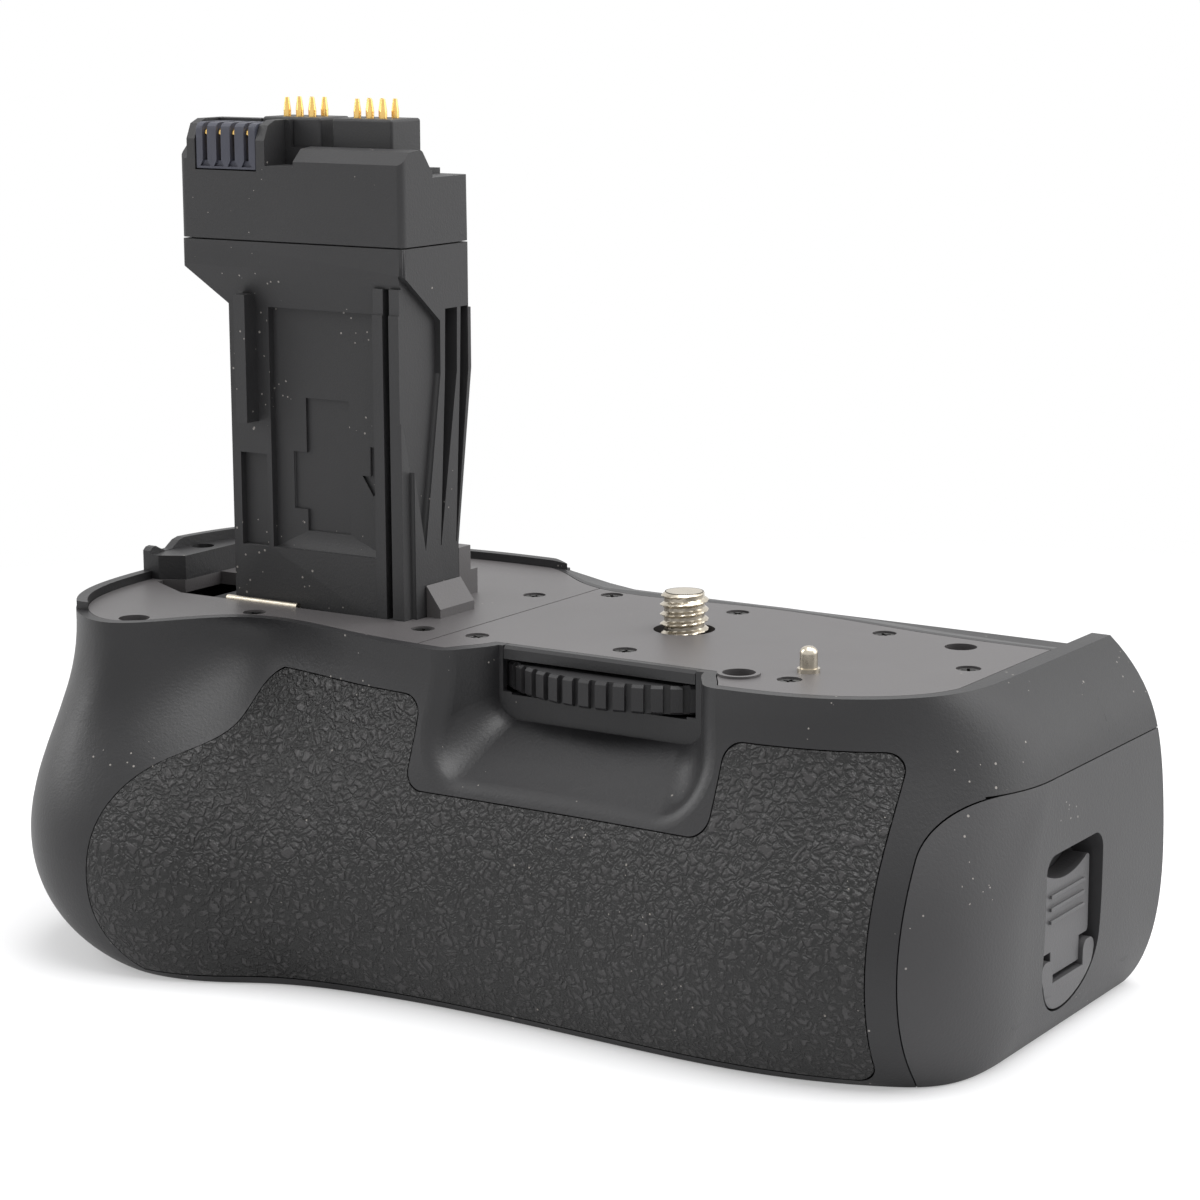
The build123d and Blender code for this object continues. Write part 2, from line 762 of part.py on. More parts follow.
def rear_disc(places, radius, y_range):
    """Round bars along Y between two values of it."""
    with BuildPart() as disc:
        with BuildSketch(Plane.XZ.offset(-y_range[0])):
            with Locations(*places):
                Circle(radius)
        extrude(amount=y_range[0] - y_range[1])
    return disc.part


def button_disc(radius, low, high):
    """A round bar along the shutter button's axis, between two heights over its seat."""
    with BuildPart() as disc:
        with BuildSketch(shutter_plane.offset(low)):
            Circle(radius)
        extrude(amount=high - low)
    return disc.part


with BuildPart() as control_cuts:
    with BuildSketch(Plane.XZ.offset(-control_face_y)):
        with Locations(control_middle):
            RectangleRounded(control_width, control_height, control_corner_radius)
    extrude(amount=-far)
    cut_y = (control_inside_y - cut_overrun, far)
    add(rear_disc(rear_button_places, rear_button_diameter / 2 + button_gap, cut_y))
    add(rear_disc([switch_place], switch_shaft_diameter / 2 + shaft_gap, cut_y))
    add(button_disc(seat_radius, 0, far / 2))
    add(button_disc(button_radius + button_gap, -flange_depth, far / 2))
    travel_depth = flange_depth + button_flange_thickness + shutter_button_travel + button_gap
    add(button_disc(button_radius + button_flange + button_gap, -travel_depth, -shutter_collar_depth))
    with BuildSketch(dial_plane):
        Circle(dial_radius + dial_gap)
    extrude(amount=dial_thickness / 2 + dial_gap, both=True)
    with BuildSketch(Plane.XY.offset(floor_z)):
        with Locations(*[(x * body_length, y * body_depth) for x, y in base_screw_shares]):
            Circle(screw_shank_diameter / 2)
    extrude(amount=wall)
    with BuildSketch(Plane.XY.offset(floor_z)):
        with Locations(*[(x * body_length, y * body_depth) for x, y in base_screw_shares]):
            Circle(screw_head_diameter / 2 + screw_seat_gap)
    extrude(amount=screw_head_recess + screw_head_height)

shutter_collar = button_disc(seat_radius + wall / 2, -shutter_collar_depth, 0)
with BuildPart() as tripod_seat:
    with Locations((-tripod_from_axis, 0, floor_z)):
        Cylinder(tripod_bush_diameter / 2, tripod_bush_length, align=(Align.CENTER, Align.CENTER, Align.MIN))
        Cylinder(tripod_flange_diameter / 2, tripod_flange_thickness,
                 align=(Align.CENTER, Align.CENTER, Align.MIN))

full_casing = casing.part + (shutter_collar & outer_form) - control_cuts.part - tripod_seat.part
shutter_zone = block((-far, -shutter_seam_from_axis), (-far, far), (-far, -shutter_seam_drop))
front_zone = block((-far, far), (-far, split_from_axis), (-far, far))
main_casing = full_casing - shutter_zone

with BuildPart() as shutter_housing:
    add(full_casing & shutter_zone)
    cheek_reach = dial_thickness / 2 + dial_gap
    for near, away in ((-cheek_reach - dial_cheek_thickness, -cheek_reach),
                       (cheek_reach, cheek_reach + dial_cheek_thickness)):
        cheek_x = (-far, -dial_from_axis + dial_shaft_diameter * dial_cheek_share)
        cheek_z = (floor_top_z, -shutter_seam_drop - wall)
        add(inner_form & block(cheek_x, (dial_y + near, dial_y + away), cheek_z))
    with BuildSketch(dial_plane):
        Circle(dial_shaft_diameter / 2 + shaft_gap)
    extrude(amount=cheek_reach + dial_cheek_thickness, both=True, mode=Mode.SUBTRACT)
write(shutter_housing.part, "shutter_housing")
write(main_casing & front_zone, "front_housing")

# Board behind the rear controls, on posts of the rear housing
board_back_y = board_y + board_thickness
board_x = (-board_left_from_axis, -board_right_from_axis)
board_z = (-board_top_drop - board_height, -board_top_drop)
post_places = [(board_x[0] + across * (board_x[1] - board_x[0]), board_z[1] + down * (board_z[0] - board_z[1]))
               for across, down in board_post_shares]
rear_housing = (main_casing - front_zone) + rear_disc(post_places, board_post_diameter / 2,
                                                      (board_back_y, control_inside_y + cut_overrun))
write(rear_housing, "rear_housing")
write(front_skin, "front_grip_rubber")
write(rear_skin, "rear_grip_rubber")

with BuildPart() as circuit_board:
    add(block(board_x, (board_y, board_back_y), board_z))
write(circuit_board.part, "circuit_board")

with BuildPart() as base_screws:
    with BuildSketch(Plane.XY.offset(floor_z + screw_head_recess)):
        with Locations(*[(x * body_length, y * body_depth) for x, y in base_screw_shares]):
            Circle(screw_head_diameter / 2)
    extrude(amount=screw_head_height)
    with BuildSketch(Plane.XY.offset(floor_z + screw_head_recess)):
        with Locations(*[(x * body_length, y * body_depth) for x, y in base_screw_shares]):
            Circle(screw_shank_diameter / 2)
    extrude(amount=wall - screw_head_recess)
write(base_screws.part, "base_screws")

# Shutter button and dial
with BuildPart() as shutter_button:
    add(button_disc(button_radius, -flange_depth, shutter_button_proud))
    top_edge = edges().filter_by(GeomType.CIRCLE).sort_by(Axis.Z)[0]
    fillet(top_edge, shutter_edge_radius)
    add(button_disc(button_radius + button_flange, -flange_depth - button_flange_thickness, -flange_depth))
write(shutter_button.part, "shutter_button")

with BuildPart() as main_dial:
    with BuildSketch(dial_plane):
        Circle(dial_radius)
    extrude(amount=dial_thickness / 2, both=True)
    chamfer(edges(), dial_rib_depth)
    with BuildSketch(dial_plane):
        with PolarLocations(dial_radius, dial_rib_count):
            Rectangle(2 * dial_rib_depth, math.pi * dial_radius / dial_rib_count)
        Circle(dial_shaft_diameter / 2)
    extrude(amount=dial_thickness / 2, both=True, mode=Mode.SUBTRACT)
write(main_dial.part, "main_dial")

with BuildPart() as dial_shaft:
    with BuildSketch(dial_plane):
        Circle(dial_shaft_diameter / 2)
    extrude(amount=cheek_reach + dial_cheek_thickness, both=True)
write(dial_shaft.part, "dial_shaft")

# Rear buttons and the power switch
rear_radius = rear_button_diameter / 2
flange_back_y = control_inside_y - skin_gap
tail_y = (board_back_y + rear_button_travel + skin_gap, flange_back_y)
button_names = ("focus_point_button", "lock_button", "index_button")
for name, place in zip(button_names, rear_button_places):
    with BuildPart() as rear_button:
        add(rear_disc([place], rear_radius, (flange_back_y, control_face_y + rear_button_proud)))
        fillet(edges().filter_by(GeomType.CIRCLE).sort_by(Axis.Y)[-1], control_edge_radius)
        add(rear_disc([place], rear_radius + button_flange / 2,
                      (flange_back_y - button_flange_thickness, flange_back_y)))
        add(rear_disc([place], rear_tail_diameter / 2, tail_y))
    write(rear_button.part, name)

with BuildPart() as power_switch:
    disc_y = (control_face_y + switch_gap, control_face_y + switch_gap + switch_thickness)
    lever_x = (switch_place[0] - switch_lever_length, switch_place[0])
    lever_z = (switch_place[1] - switch_lever_width / 2, switch_place[1] + switch_lever_width / 2)
    add(block(lever_x, disc_y, lever_z))
    tip_x = (lever_x[0], lever_x[0] + switch_lever_width)
    add(block(tip_x, (disc_y[0], disc_y[1] + switch_tip_rise), lever_z))
    fillet(edges().filter_by(Axis.Y).group_by(Axis.X)[0], switch_lever_width * switch_tip_share)
    add(rear_disc([switch_place], switch_radius, disc_y))
    add(rear_disc([switch_place], switch_shaft_diameter / 2, (flange_back_y, disc_y[1])))
    add(rear_disc([switch_place], switch_collar_diameter / 2,
                  (flange_back_y - switch_collar_thickness, flange_back_y)))
write(power_switch.part, "power_switch")

# Tripod bush in its seat in the underside
with BuildPart() as tripod_bush:
    add(tripod_seat.part)
    with BuildSketch(Plane.XY.offset(floor_z)):
        with Locations((-tripod_from_axis, 0)):
            Circle(tripod_bore_diameter / 2)
    extrude(amount=tripod_bush_length, mode=Mode.SUBTRACT)
write(tripod_bush.part, "tripod_bush")


# Magazine cap: a shell of the body's own outline with a hollow towards the tray
latch_bottom_z = -latch_top_drop - latch_height
latch_box_y = (latch_centre_y - latch_width / 2 - wall, latch_centre_y + latch_width / 2 + wall)
latch_box_z = (latch_bottom_z - wall, -latch_top_drop + wall)
cap_face_x = belly_back_shares[0][0] * body_length
slot_floor_x = cap_face_x - latch_depth
boss_radius = wall
cap_boss_y = (chamber_centre_y - tray_width / 2 + 2 * wall, chamber_centre_y + tray_width / 2 - 2 * wall)
cap_boss_z = (tray_bottom_z + 2 * wall, -cap_seam_drop - 3 * wall)
cap_boss_places = [(y, z) for y in cap_boss_y for z in cap_boss_z]
boss_end_x = cap_face_x - wall / 2
head_face_x = tray_right_x - tray_wall + screw_head_height


def cap_bars(radius, x_range):
    """Round bars along X at the four places of the cap's screws."""
    with BuildPart() as bars:
        with BuildSketch(Plane.YZ.offset(x_range[0])):
            with Locations(*cap_boss_places):
                Circle(radius)
        extrude(amount=x_range[1] - x_range[0])
    return bars.part


with BuildPart() as latch_slot:
    with BuildSketch(Plane.YZ.offset(slot_floor_x)):
        with BuildLine():
            slot_y = (latch_centre_y - latch_width / 2, latch_centre_y + latch_width / 2)
            arc_z = latch_bottom_z + latch_width / 2
            Polyline((slot_y[0], arc_z), (slot_y[0], -latch_top_drop), (slot_y[1], -latch_top_drop),
                     (slot_y[1], arc_z))
            ThreePointArc((slot_y[1], arc_z), (latch_centre_y, latch_bottom_z), (slot_y[0], arc_z))
        make_face()
        fillet(vertices().group_by(Axis.Y)[-1], latch_corner_radius)
    extrude(amount=latch_depth + cut_overrun)

with BuildPart() as magazine_cap:
    add(outer_form & cap_prism(cap_gap))
    cap_inside = block((0, far), (-far, far), (floor_top_z, -cap_seam_drop - wall - cap_gap))
    add(inner_form & cap_inside, mode=Mode.SUBTRACT)
    add(outer_form & block((slot_floor_x - wall / 2, far), latch_box_y, latch_box_z))
    add(cap_bars(boss_radius, (tray_right_x, boss_end_x)))
    add(latch_slot.part, mode=Mode.SUBTRACT)
    add(cap_bars(screw_shank_diameter / 2, (tray_right_x, tray_right_x + 2 * wall)), mode=Mode.SUBTRACT)
write(magazine_cap.part, "magazine_cap")

# Tray with one bay on top and one below
tray_y = (chamber_centre_y - tray_width / 2, chamber_centre_y + tray_width / 2)
bay_x = (tray_left_x + tray_wall, tray_right_x - tray_wall)
bay_y = (tray_y[0] + tray_wall, tray_y[1] - tray_wall)
bay_split_z = (tray_top_z - bay_height, tray_bottom_z + bay_height)
with BuildPart() as magazine_tray:
    add(block((tray_left_x, tray_right_x), tray_y, (tray_bottom_z, tray_top_z)))
    fillet(edges().filter_by(Axis.X), tray_wall * tray_edge_share)
    add(block(bay_x, bay_y, (bay_split_z[0], tray_top_z + cut_overrun)), mode=Mode.SUBTRACT)
    add(block(bay_x, bay_y, (tray_bottom_z - cut_overrun, bay_split_z[1])), mode=Mode.SUBTRACT)
    for edge_z in (tray_top_z, tray_bottom_z):
        with Locations(((bay_x[0] + bay_x[1]) / 2, chamber_centre_y, edge_z)):
            Cylinder(bay_height * tray_grip_share, 2 * tray_width, rotation=(90, 0, 0),
                     mode=Mode.SUBTRACT)
    add(cap_bars(screw_head_diameter / 2 + screw_seat_gap, (tray_right_x - tray_wall, head_face_x)),
        mode=Mode.SUBTRACT)
    add(cap_bars(screw_shank_diameter / 2, (head_face_x, tray_right_x)), mode=Mode.SUBTRACT)
write(magazine_tray.part, "magazine_tray")

with BuildPart() as magazine_screws:
    add(cap_bars(screw_head_diameter / 2, (tray_right_x - tray_wall, head_face_x)))
    add(cap_bars(screw_shank_diameter / 2, (head_face_x, tray_right_x + 2 * wall)))
write(magazine_screws.part, "magazine_screws")


def stem_x(share):
    return stem_right_x - share * stem_width


def stem_y(share):
    return stem_front_y + share * stem_depth


def stem_z(share):
    return share * stem_seam


def stem_block(width_shares, y_range, height_shares):
    x_range = (stem_x(width_shares[0]), stem_x(width_shares[1]))
    z_range = (stem_z(height_shares[0]), stem_z(height_shares[1]))
    return block(x_range, y_range, z_range)


core_front_y = stem_front_y + stem_core_inset
core_x = (stem_x(stem_core_share), stem_right_x)
stem_root_z = -plate_thickness - skin_gap - stem_flange_thickness
ridge_x = (stem_x(stem_ridge_shares[0][0]), stem_x(stem_ridge_shares[1][1]))


def stem_section(grow):
    """The column's section where it passes the panel, with its ridges."""
    with BuildSketch() as section:
        with Locations(((core_x[0] + core_x[1]) / 2, (core_front_y + stem_back_y) / 2)):
            Rectangle(core_x[1] - core_x[0] + 2 * grow, stem_back_y - core_front_y + 2 * grow)
        with Locations(((ridge_x[0] + ridge_x[1]) / 2, (stem_front_y + stem_back_y) / 2)):
            Rectangle(ridge_x[1] - ridge_x[0] + 2 * grow, stem_depth + 2 * grow)
    return section.sketch


with BuildPart() as stem_column:
    # flared head of the column, filleted before the core joins it
    with BuildSketch(Plane.XZ.offset(-stem_back_y)):
        with BuildLine():
            flare = [(stem_x(across), stem_z(up)) for across, up in stem_flare_shares]
            Polyline(
                (stem_right_x, flare[0][1]), *flare, (stem_left_x, stem_column_top),
                (stem_right_x, stem_column_top), close=True,
            )
        make_face()
    extrude(amount=stem_depth)
    with BuildSketch(Plane.YZ.offset(stem_left_x)):
        with BuildLine():
            Polyline(
                (stem_back_y, flare[0][1]), (core_front_y, flare[0][1]), (stem_front_y, flare[1][1]),
                (stem_front_y, stem_column_top), (stem_back_y, stem_column_top), close=True,
            )
        make_face()
    extrude(amount=stem_width, mode=Mode.INTERSECT)
    fillet(edges().filter_by(Axis.Z), stem_edge_radius)
    with BuildSketch(Plane.XY.offset(stem_root_z)):
        add(stem_section(0))
    extrude(amount=flare[0][1] - stem_root_z)
    for ridge in stem_ridge_shares:
        ridge_y = (stem_front_y + stem_ridge_front, core_front_y)
        add(stem_block(ridge, ridge_y, (0, stem_ridge_top_share)))
    groove = (stem_ridge_shares[0][1], stem_ridge_shares[1][0])
    add(stem_block(groove, (stem_front_y, stem_front_y + stem_groove_depth), (0, stem_ridge_top_share)),
        mode=Mode.SUBTRACT)
    flap_y = (stem_front_y - stem_flap_reach, core_front_y)
    add(stem_block(stem_flap_shares[0], flap_y, stem_flap_shares[1]))
    recess_y = (core_front_y, core_front_y + stem_recess_depth)
    add(stem_block(stem_recess_shares[0], recess_y, stem_recess_shares[1]), mode=Mode.SUBTRACT)
    add(stem_block(stem_low_recess_shares[0], recess_y, stem_low_recess_shares[1]), mode=Mode.SUBTRACT)
    # tapered slots in the right face, and the lower strip in front of them
    for outline, depth in zip(stem_slot_shares, stem_slot_depths):
        with BuildSketch(Plane.YZ.offset(stem_right_x)):
            with BuildLine():
                Polyline(*[(stem_y(across), stem_z(up)) for across, up in outline], close=True)
            make_face()
        extrude(amount=-depth, mode=Mode.SUBTRACT)
    # the back face draws in towards the foot
    with BuildSketch(Plane.YZ.offset(stem_left_x)):
        with BuildLine():
            taper_z = [stem_z(height) for height in stem_taper_height_shares]
            Polyline(
                (stem_back_y - stem_back_taper, 0), (stem_back_y - stem_back_taper, taper_z[0]),
                (stem_back_y, taper_z[1]), (stem_back_y + cut_overrun, taper_z[1]),
                (stem_back_y + cut_overrun, 0), close=True,
            )
        make_face()
    extrude(amount=stem_width, mode=Mode.SUBTRACT)
    # foot flange under the panel
    with BuildSketch(Plane.XY.offset(stem_root_z)):
        foot_size = (stem_width + 2 * stem_flange_margin, stem_depth + 2 * stem_flange_margin)
        with Locations(((stem_left_x + stem_right_x) / 2, (stem_front_y + stem_back_y) / 2)):
            RectangleRounded(*foot_size, stem_flange_margin)
    extrude(amount=stem_flange_thickness)
write(stem_column.part, "stem_column")
head_bottom_z = stem_column_top


def head_z(share):
    return stem_seam + share * stem_head_height


def head_block(width_shares, depth_shares, height_shares):
    x_range = (stem_x(width_shares[0]), stem_x(width_shares[1]))
    y_range = (stem_y(depth_shares[0]), stem_y(depth_shares[1]))
    z_range = (head_z(height_shares[0]), head_z(height_shares[1]))
    return block(x_range, y_range, z_range)


block_x = (stem_x(contact_block_span[0]), stem_x(contact_block_span[1]))
block_z = (head_z(contact_block_height[0]), head_z(contact_block_height[1]))
block_back_y = stem_y(contact_block_depth_share)
pocket_top_z = head_z(head_profile_shares[5][1]) - head_wall
pin_block_z = (pocket_top_z, head_z(pin_block_top_share))

with BuildPart() as stem_head:
    with BuildSketch(Plane.YZ.offset(stem_left_x)):
        with BuildLine():
            profile = [(stem_y(depth), head_z(height)) for depth, height in head_profile_shares]
            Polyline(*profile, close=True)
        make_face()
    extrude(amount=stem_width)
    fillet(edges().filter_by(Axis.X).group_by(Axis.Z)[-1], head_edge_radius)
    fillet(edges().filter_by(Axis.Z), head_edge_radius)
    with BuildSketch(Plane.YZ.offset(stem_x(contact_housing_span[0]))):
        with BuildLine():
            housing = [(stem_y(depth), head_z(height)) for depth, height in contact_housing_shares]
            Polyline(*housing, close=True)
        make_face()
    extrude(amount=stem_x(contact_housing_span[1]) - stem_x(contact_housing_span[0]))
    add(block((stem_x(head_notch_span[0]), stem_x(head_notch_span[1])),
              (stem_front_y - cut_overrun, stem_y(head_notch_depth_share)),
              (head_z(head_notch_height[0]), head_z(head_notch_height[1]))), mode=Mode.SUBTRACT)
    # lower step at the rear right corner
    add(head_block(head_rear_step_span, head_rear_step_depths, head_rear_step_heights), mode=Mode.SUBTRACT)
    # pocket for the board, open at the foot of the head
    add(block((stem_left_x + head_wall, stem_right_x - head_wall),
              (stem_front_y + head_wall, stem_back_y - head_wall),
              (stem_seam - cut_overrun, pocket_top_z)), mode=Mode.SUBTRACT)
    add(block((block_x[0] - contact_block_gap, block_x[1] + contact_block_gap),
              (stem_front_y - cut_overrun, block_back_y + contact_block_gap),
              (block_z[0] - contact_block_gap, block_z[1] + cut_overrun)), mode=Mode.SUBTRACT)
    for span in pin_block_spans:
        hole_x = (stem_x(span[0]) - pin_block_gap, stem_x(span[1]) + pin_block_gap)
        hole_y = (stem_y(pin_block_depth_shares[0]) - pin_block_gap,
                  stem_y(pin_block_depth_shares[1]) + pin_block_gap)
        add(block(hole_x, hole_y, (pin_block_z[0], pin_block_z[1] + cut_overrun)), mode=Mode.SUBTRACT)
    # seam groove round the foot of the head
    with BuildSketch(Plane.XY.offset(head_bottom_z)):
        with Locations(((stem_left_x + stem_right_x) / 2, (stem_front_y + stem_back_y) / 2)):
            Rectangle(stem_width - 2 * head_seam_depth, stem_depth - 2 * head_seam_depth)
            Rectangle(stem_width - 2 * head_wall, stem_depth - 2 * head_wall, mode=Mode.SUBTRACT)
    extrude(amount=stem_seam - head_bottom_z + stem_seam_gap)
write(stem_head.part, "stem_head")

with BuildPart() as contact_block:
    add(block(block_x, (stem_front_y + skin_gap, block_back_y), block_z))
    fillet(edges().filter_by(Axis.X).group_by(Axis.Z)[-1].sort_by(Axis.Y)[0], pin_block_radius)
    contact_pitch = contact_pitch_share * stem_width * 2
    contact_middle = (block_x[0] + block_x[1]) / 2
    contact_slot_x = [contact_middle + (n - (contact_slot_count - 1) / 2) * contact_pitch
                      for n in range(contact_slot_count)]
    slot_foot_z = block_z[0] + (block_z[1] - block_z[0]) * contact_foot_share
    for x in contact_slot_x:
        slot_x = (x - contact_slot_width / 2, x + contact_slot_width / 2)
        add(block(slot_x, (stem_front_y, block_back_y - head_wall), (slot_foot_z, block_z[1] + cut_overrun)),
            mode=Mode.SUBTRACT)
write(contact_block.part, "contact_block")

with BuildPart() as stem_contacts:
    blade_y = (stem_y(contact_blade_front_share), block_back_y - head_wall)
    blade_z = (slot_foot_z, head_z(contact_blade_top_share))
    for x in contact_slot_x:
        blade_x = (x - contact_blade_thickness / 2, x + contact_blade_thickness / 2)
        add(block(blade_x, blade_y, blade_z))
    upright = edges().filter_by(Axis.X).group_by(Axis.Z)[-1].group_by(Axis.Y)[0]
    fillet(upright, contact_blade_radius)
write(stem_contacts.part, "stem_contacts")

with BuildPart() as stem_board:
    board_x = (stem_left_x + 2 * head_wall, stem_right_x - 2 * head_wall)
    board_ys = (stem_front_y + 2 * head_wall, stem_back_y - 2 * head_wall)
    add(block(board_x, board_ys, (stem_column_top, stem_column_top + head_board_thickness)))
write(stem_board.part, "stem_board")


def pin_places(span):
    """Places of the pins of one block, in rows along it and across it."""
    middle_x = (stem_x(span[0]) + stem_x(span[1])) / 2
    middle_y = stem_y((pin_block_depth_shares[0] + pin_block_depth_shares[1]) / 2)
    places = []
    for row in range(contact_pin_rows):
        for column in range(contact_pin_columns):
            x = middle_x + (column - (contact_pin_columns - 1) / 2) * contact_pin_pitch_x
            y = middle_y + (row - (contact_pin_rows - 1) / 2) * contact_pin_pitch_y
            places.append((x, y))
    return places


pin_tip_z = pin_block_z[1] + contact_pin_reach
pin_foot_z = stem_column_top + head_board_thickness + contact_pin_travel + skin_gap
for side, span in zip(("left", "right"), pin_block_spans):
    with BuildPart() as pin_block:
        top_x = (stem_x(span[0]), stem_x(span[1]))
        block_y = (stem_y(pin_block_depth_shares[0]), stem_y(pin_block_depth_shares[1]))
        add(block(top_x, block_y, pin_block_z))
        upper_edges = edges().filter_by(Axis.Z) + edges().group_by(Axis.Z)[-1]
        fillet(upper_edges, pin_block_radius / 2)
        # shoulder under the head's roof, wider than the hole that the block passes
        shoulder_x = (top_x[0] - pin_block_radius, top_x[1] + pin_block_radius)
        shoulder_y = (block_y[0] - pin_block_radius, block_y[1] + pin_block_radius)
        add(block(shoulder_x, shoulder_y, (pocket_top_z - pin_block_root, pocket_top_z)))
        with BuildSketch(Plane.XY.offset(pin_block_z[1])):
            with Locations(*pin_places(span)):
                Circle(contact_pin_radius + contact_pin_gap)
        extrude(amount=-(pin_block_z[1] - pocket_top_z + pin_block_root), mode=Mode.SUBTRACT)
    write(pin_block.part, f"pin_block_{side}")
    with BuildPart() as pins:
        with BuildSketch(Plane.XZ):
            with BuildLine():
                Polyline(
                    (0, pin_foot_z), (contact_pin_radius, pin_foot_z),
                    (contact_pin_radius, pin_block_z[1] + contact_pin_reach * pin_collar_share),
                    (contact_pin_radius * pin_tip_share, pin_tip_z), (0, pin_tip_z), close=True,
                )
            make_face()
        one_pin = revolve(axis=Axis.Z, mode=Mode.PRIVATE)
        with Locations(*pin_places(span)):
            add(one_pin)
    write(pins.part, f"contact_pins_{side}")

# Plates
plate_outline = rim_prism(plate_margin + plate_fit, 0, -plate_thickness)
with BuildPart() as plate_blank:
    with BuildSketch(Plane.XY.offset(-plate_thickness)):
        with Locations((-plate_fit, -plate_fit)):
            add(plate_region(0))
    extrude(amount=plate_thickness)
    add(plate_outline, mode=Mode.INTERSECT)
    add(scoop_solid(guard_thickness + plate_fit), mode=Mode.SUBTRACT)
panel_zone = block((-far, -plate_seam_from_axis - plate_fit), (-far, far), (-far, far))
plate_zone = block((-plate_seam_from_axis + plate_fit, far), (-far, far), (-far, far))


def holes(places, radius, depth):
    """Round holes from the plates' face down."""
    with BuildPart() as drill:
        with BuildSketch():
            with Locations(*places):
                Circle(radius)
        extrude(amount=-depth)
    return drill.part


def screw_group(places, length):
    """Pan screws with their heads a little under the plates' face."""
    with BuildPart() as screws:
        with BuildSketch(Plane.XY.offset(-screw_head_recess)):
            with Locations(*places):
                Circle(screw_head_diameter / 2)
        extrude(amount=-screw_head_height)
        with BuildSketch(Plane.XY.offset(-screw_head_recess - screw_head_height)):
            with Locations(*places):
                Circle(screw_shank_diameter / 2)
        extrude(amount=-length)
    return screws.part


plate_screw_places = [(x * plate_end_from_axis, y * plate_back_from_axis) for x, y in plate_screw_shares]
panel_screw_places = [(x * body_length, y * body_depth) for x, y in panel_screw_shares]
shank_length = plate_thickness - screw_head_recess - screw_head_height
seat_depth = screw_head_recess + screw_head_height
head_hole = screw_head_diameter / 2 + screw_seat_gap
shank_hole = screw_shank_diameter / 2

with BuildPart() as seating_plate:
    add(plate_blank.part & plate_zone)
    add(holes([(0, 0)], screw_hole_diameter / 2, plate_thickness), mode=Mode.SUBTRACT)
    add(holes(plate_screw_places, head_hole, seat_depth), mode=Mode.SUBTRACT)
    add(holes(plate_screw_places, shank_hole, plate_thickness), mode=Mode.SUBTRACT)
    add(holes([(pin_from_axis_x, -pin_from_axis_y)], pin_collar_diameter / 2, plate_thickness),
        mode=Mode.SUBTRACT)
    add(holes([right_hole_place, front_hole_place], round_hole_diameter / 2, plate_thickness),
        mode=Mode.SUBTRACT)
    with BuildSketch():
        with Locations(front_hole_place):
            Circle(round_hole_diameter / 2 + round_hole_ring)
            Circle(round_hole_diameter / 2, mode=Mode.SUBTRACT)
    extrude(amount=round_hole_ring / 2)
write(seating_plate.part, "seating_plate")

pocket_y = (core_front_y - door_pocket_front, stem_back_y)
pocket_left_x = holder_right_x - door_pocket_side
with BuildPart() as door_pocket:
    with BuildSketch(Plane.XY.offset(-plate_thickness)):
        with BuildLine():
            Polyline(
                (stem_x(stem_core_share), pocket_y[0]),
                (pocket_left_x + door_pocket_corner[0], pocket_y[0]),
                (pocket_left_x, pocket_y[0] + door_pocket_corner[1]),
                (pocket_left_x, holder_front_y - holder_front_gap),
                (holder_right_x - holder_corner[0] + holder_front_gap, holder_front_y - holder_front_gap),
                (holder_right_x, holder_front_y + holder_corner[1] - holder_front_gap),
                (holder_right_x, pocket_y[1]),
                (stem_x(stem_core_share), pocket_y[1]),
                close=True,
            )
        make_face()
    extrude(amount=plate_thickness)
with BuildPart() as stem_panel:
    add(plate_blank.part & panel_zone)
    add(extrude(stem_section(stem_fit), amount=-plate_thickness, mode=Mode.PRIVATE), mode=Mode.SUBTRACT)
    add(door_pocket.part, mode=Mode.SUBTRACT)
    slot_x_range = (stem_x(stem_core_share), ridge_x[0] - stem_fit)
    add(block(slot_x_range, (pocket_y[0], core_front_y), (-plate_thickness, 0)), mode=Mode.SUBTRACT)
    add(holes(panel_screw_places, head_hole, seat_depth), mode=Mode.SUBTRACT)
    add(holes(panel_screw_places, shank_hole, plate_thickness), mode=Mode.SUBTRACT)
    add(holes([left_hole_place], round_hole_diameter / 2, plate_thickness), mode=Mode.SUBTRACT)
    # sloping gusset beside the stem and the stepped post behind it
    gusset_y = [stem_y(share) for share in gusset_depth_shares]
    gusset_x = (stem_right_x + stem_fit, stem_right_x + stem_fit + gusset_reach)
    with BuildSketch(Plane.XZ.offset(-gusset_y[1])):
        with BuildLine():
            Polyline(
                (gusset_x[0], 0), (gusset_x[0], gusset_heights[1]), (gusset_x[1], gusset_heights[0]),
                (gusset_x[1], 0), close=True,
            )
        make_face()
    extrude(amount=gusset_y[1] - gusset_y[0])
    post_x = (-post_right_from_axis - post_length, -post_right_from_axis)
    for depth, height in zip(post_depths, post_heights):
        post_y = (post_front_from_axis, post_front_from_axis + depth)
        add(block(post_x, post_y, (0, height)))
write(stem_panel.part, "stem_panel")
write(screw_group(plate_screw_places, shank_length), "plate_screws")
write(screw_group(panel_screw_places, shank_length), "panel_screws")

with BuildPart() as wheel_guard:
    guard_y = (-window_wall_from_axis, -window_wall_from_axis + guard_thickness)
    guard_x = (-window_width / 2 + plate_fit, window_width / 2 - plate_fit)
    add(block(guard_x, guard_y, (-window_top, 0)))
    chamfer(edges().filter_by(Axis.X).group_by(Axis.Z)[-1].sort_by(Axis.Y)[0], guard_thickness * guard_chamfer_share)
write(wheel_guard.part, "wheel_guard")

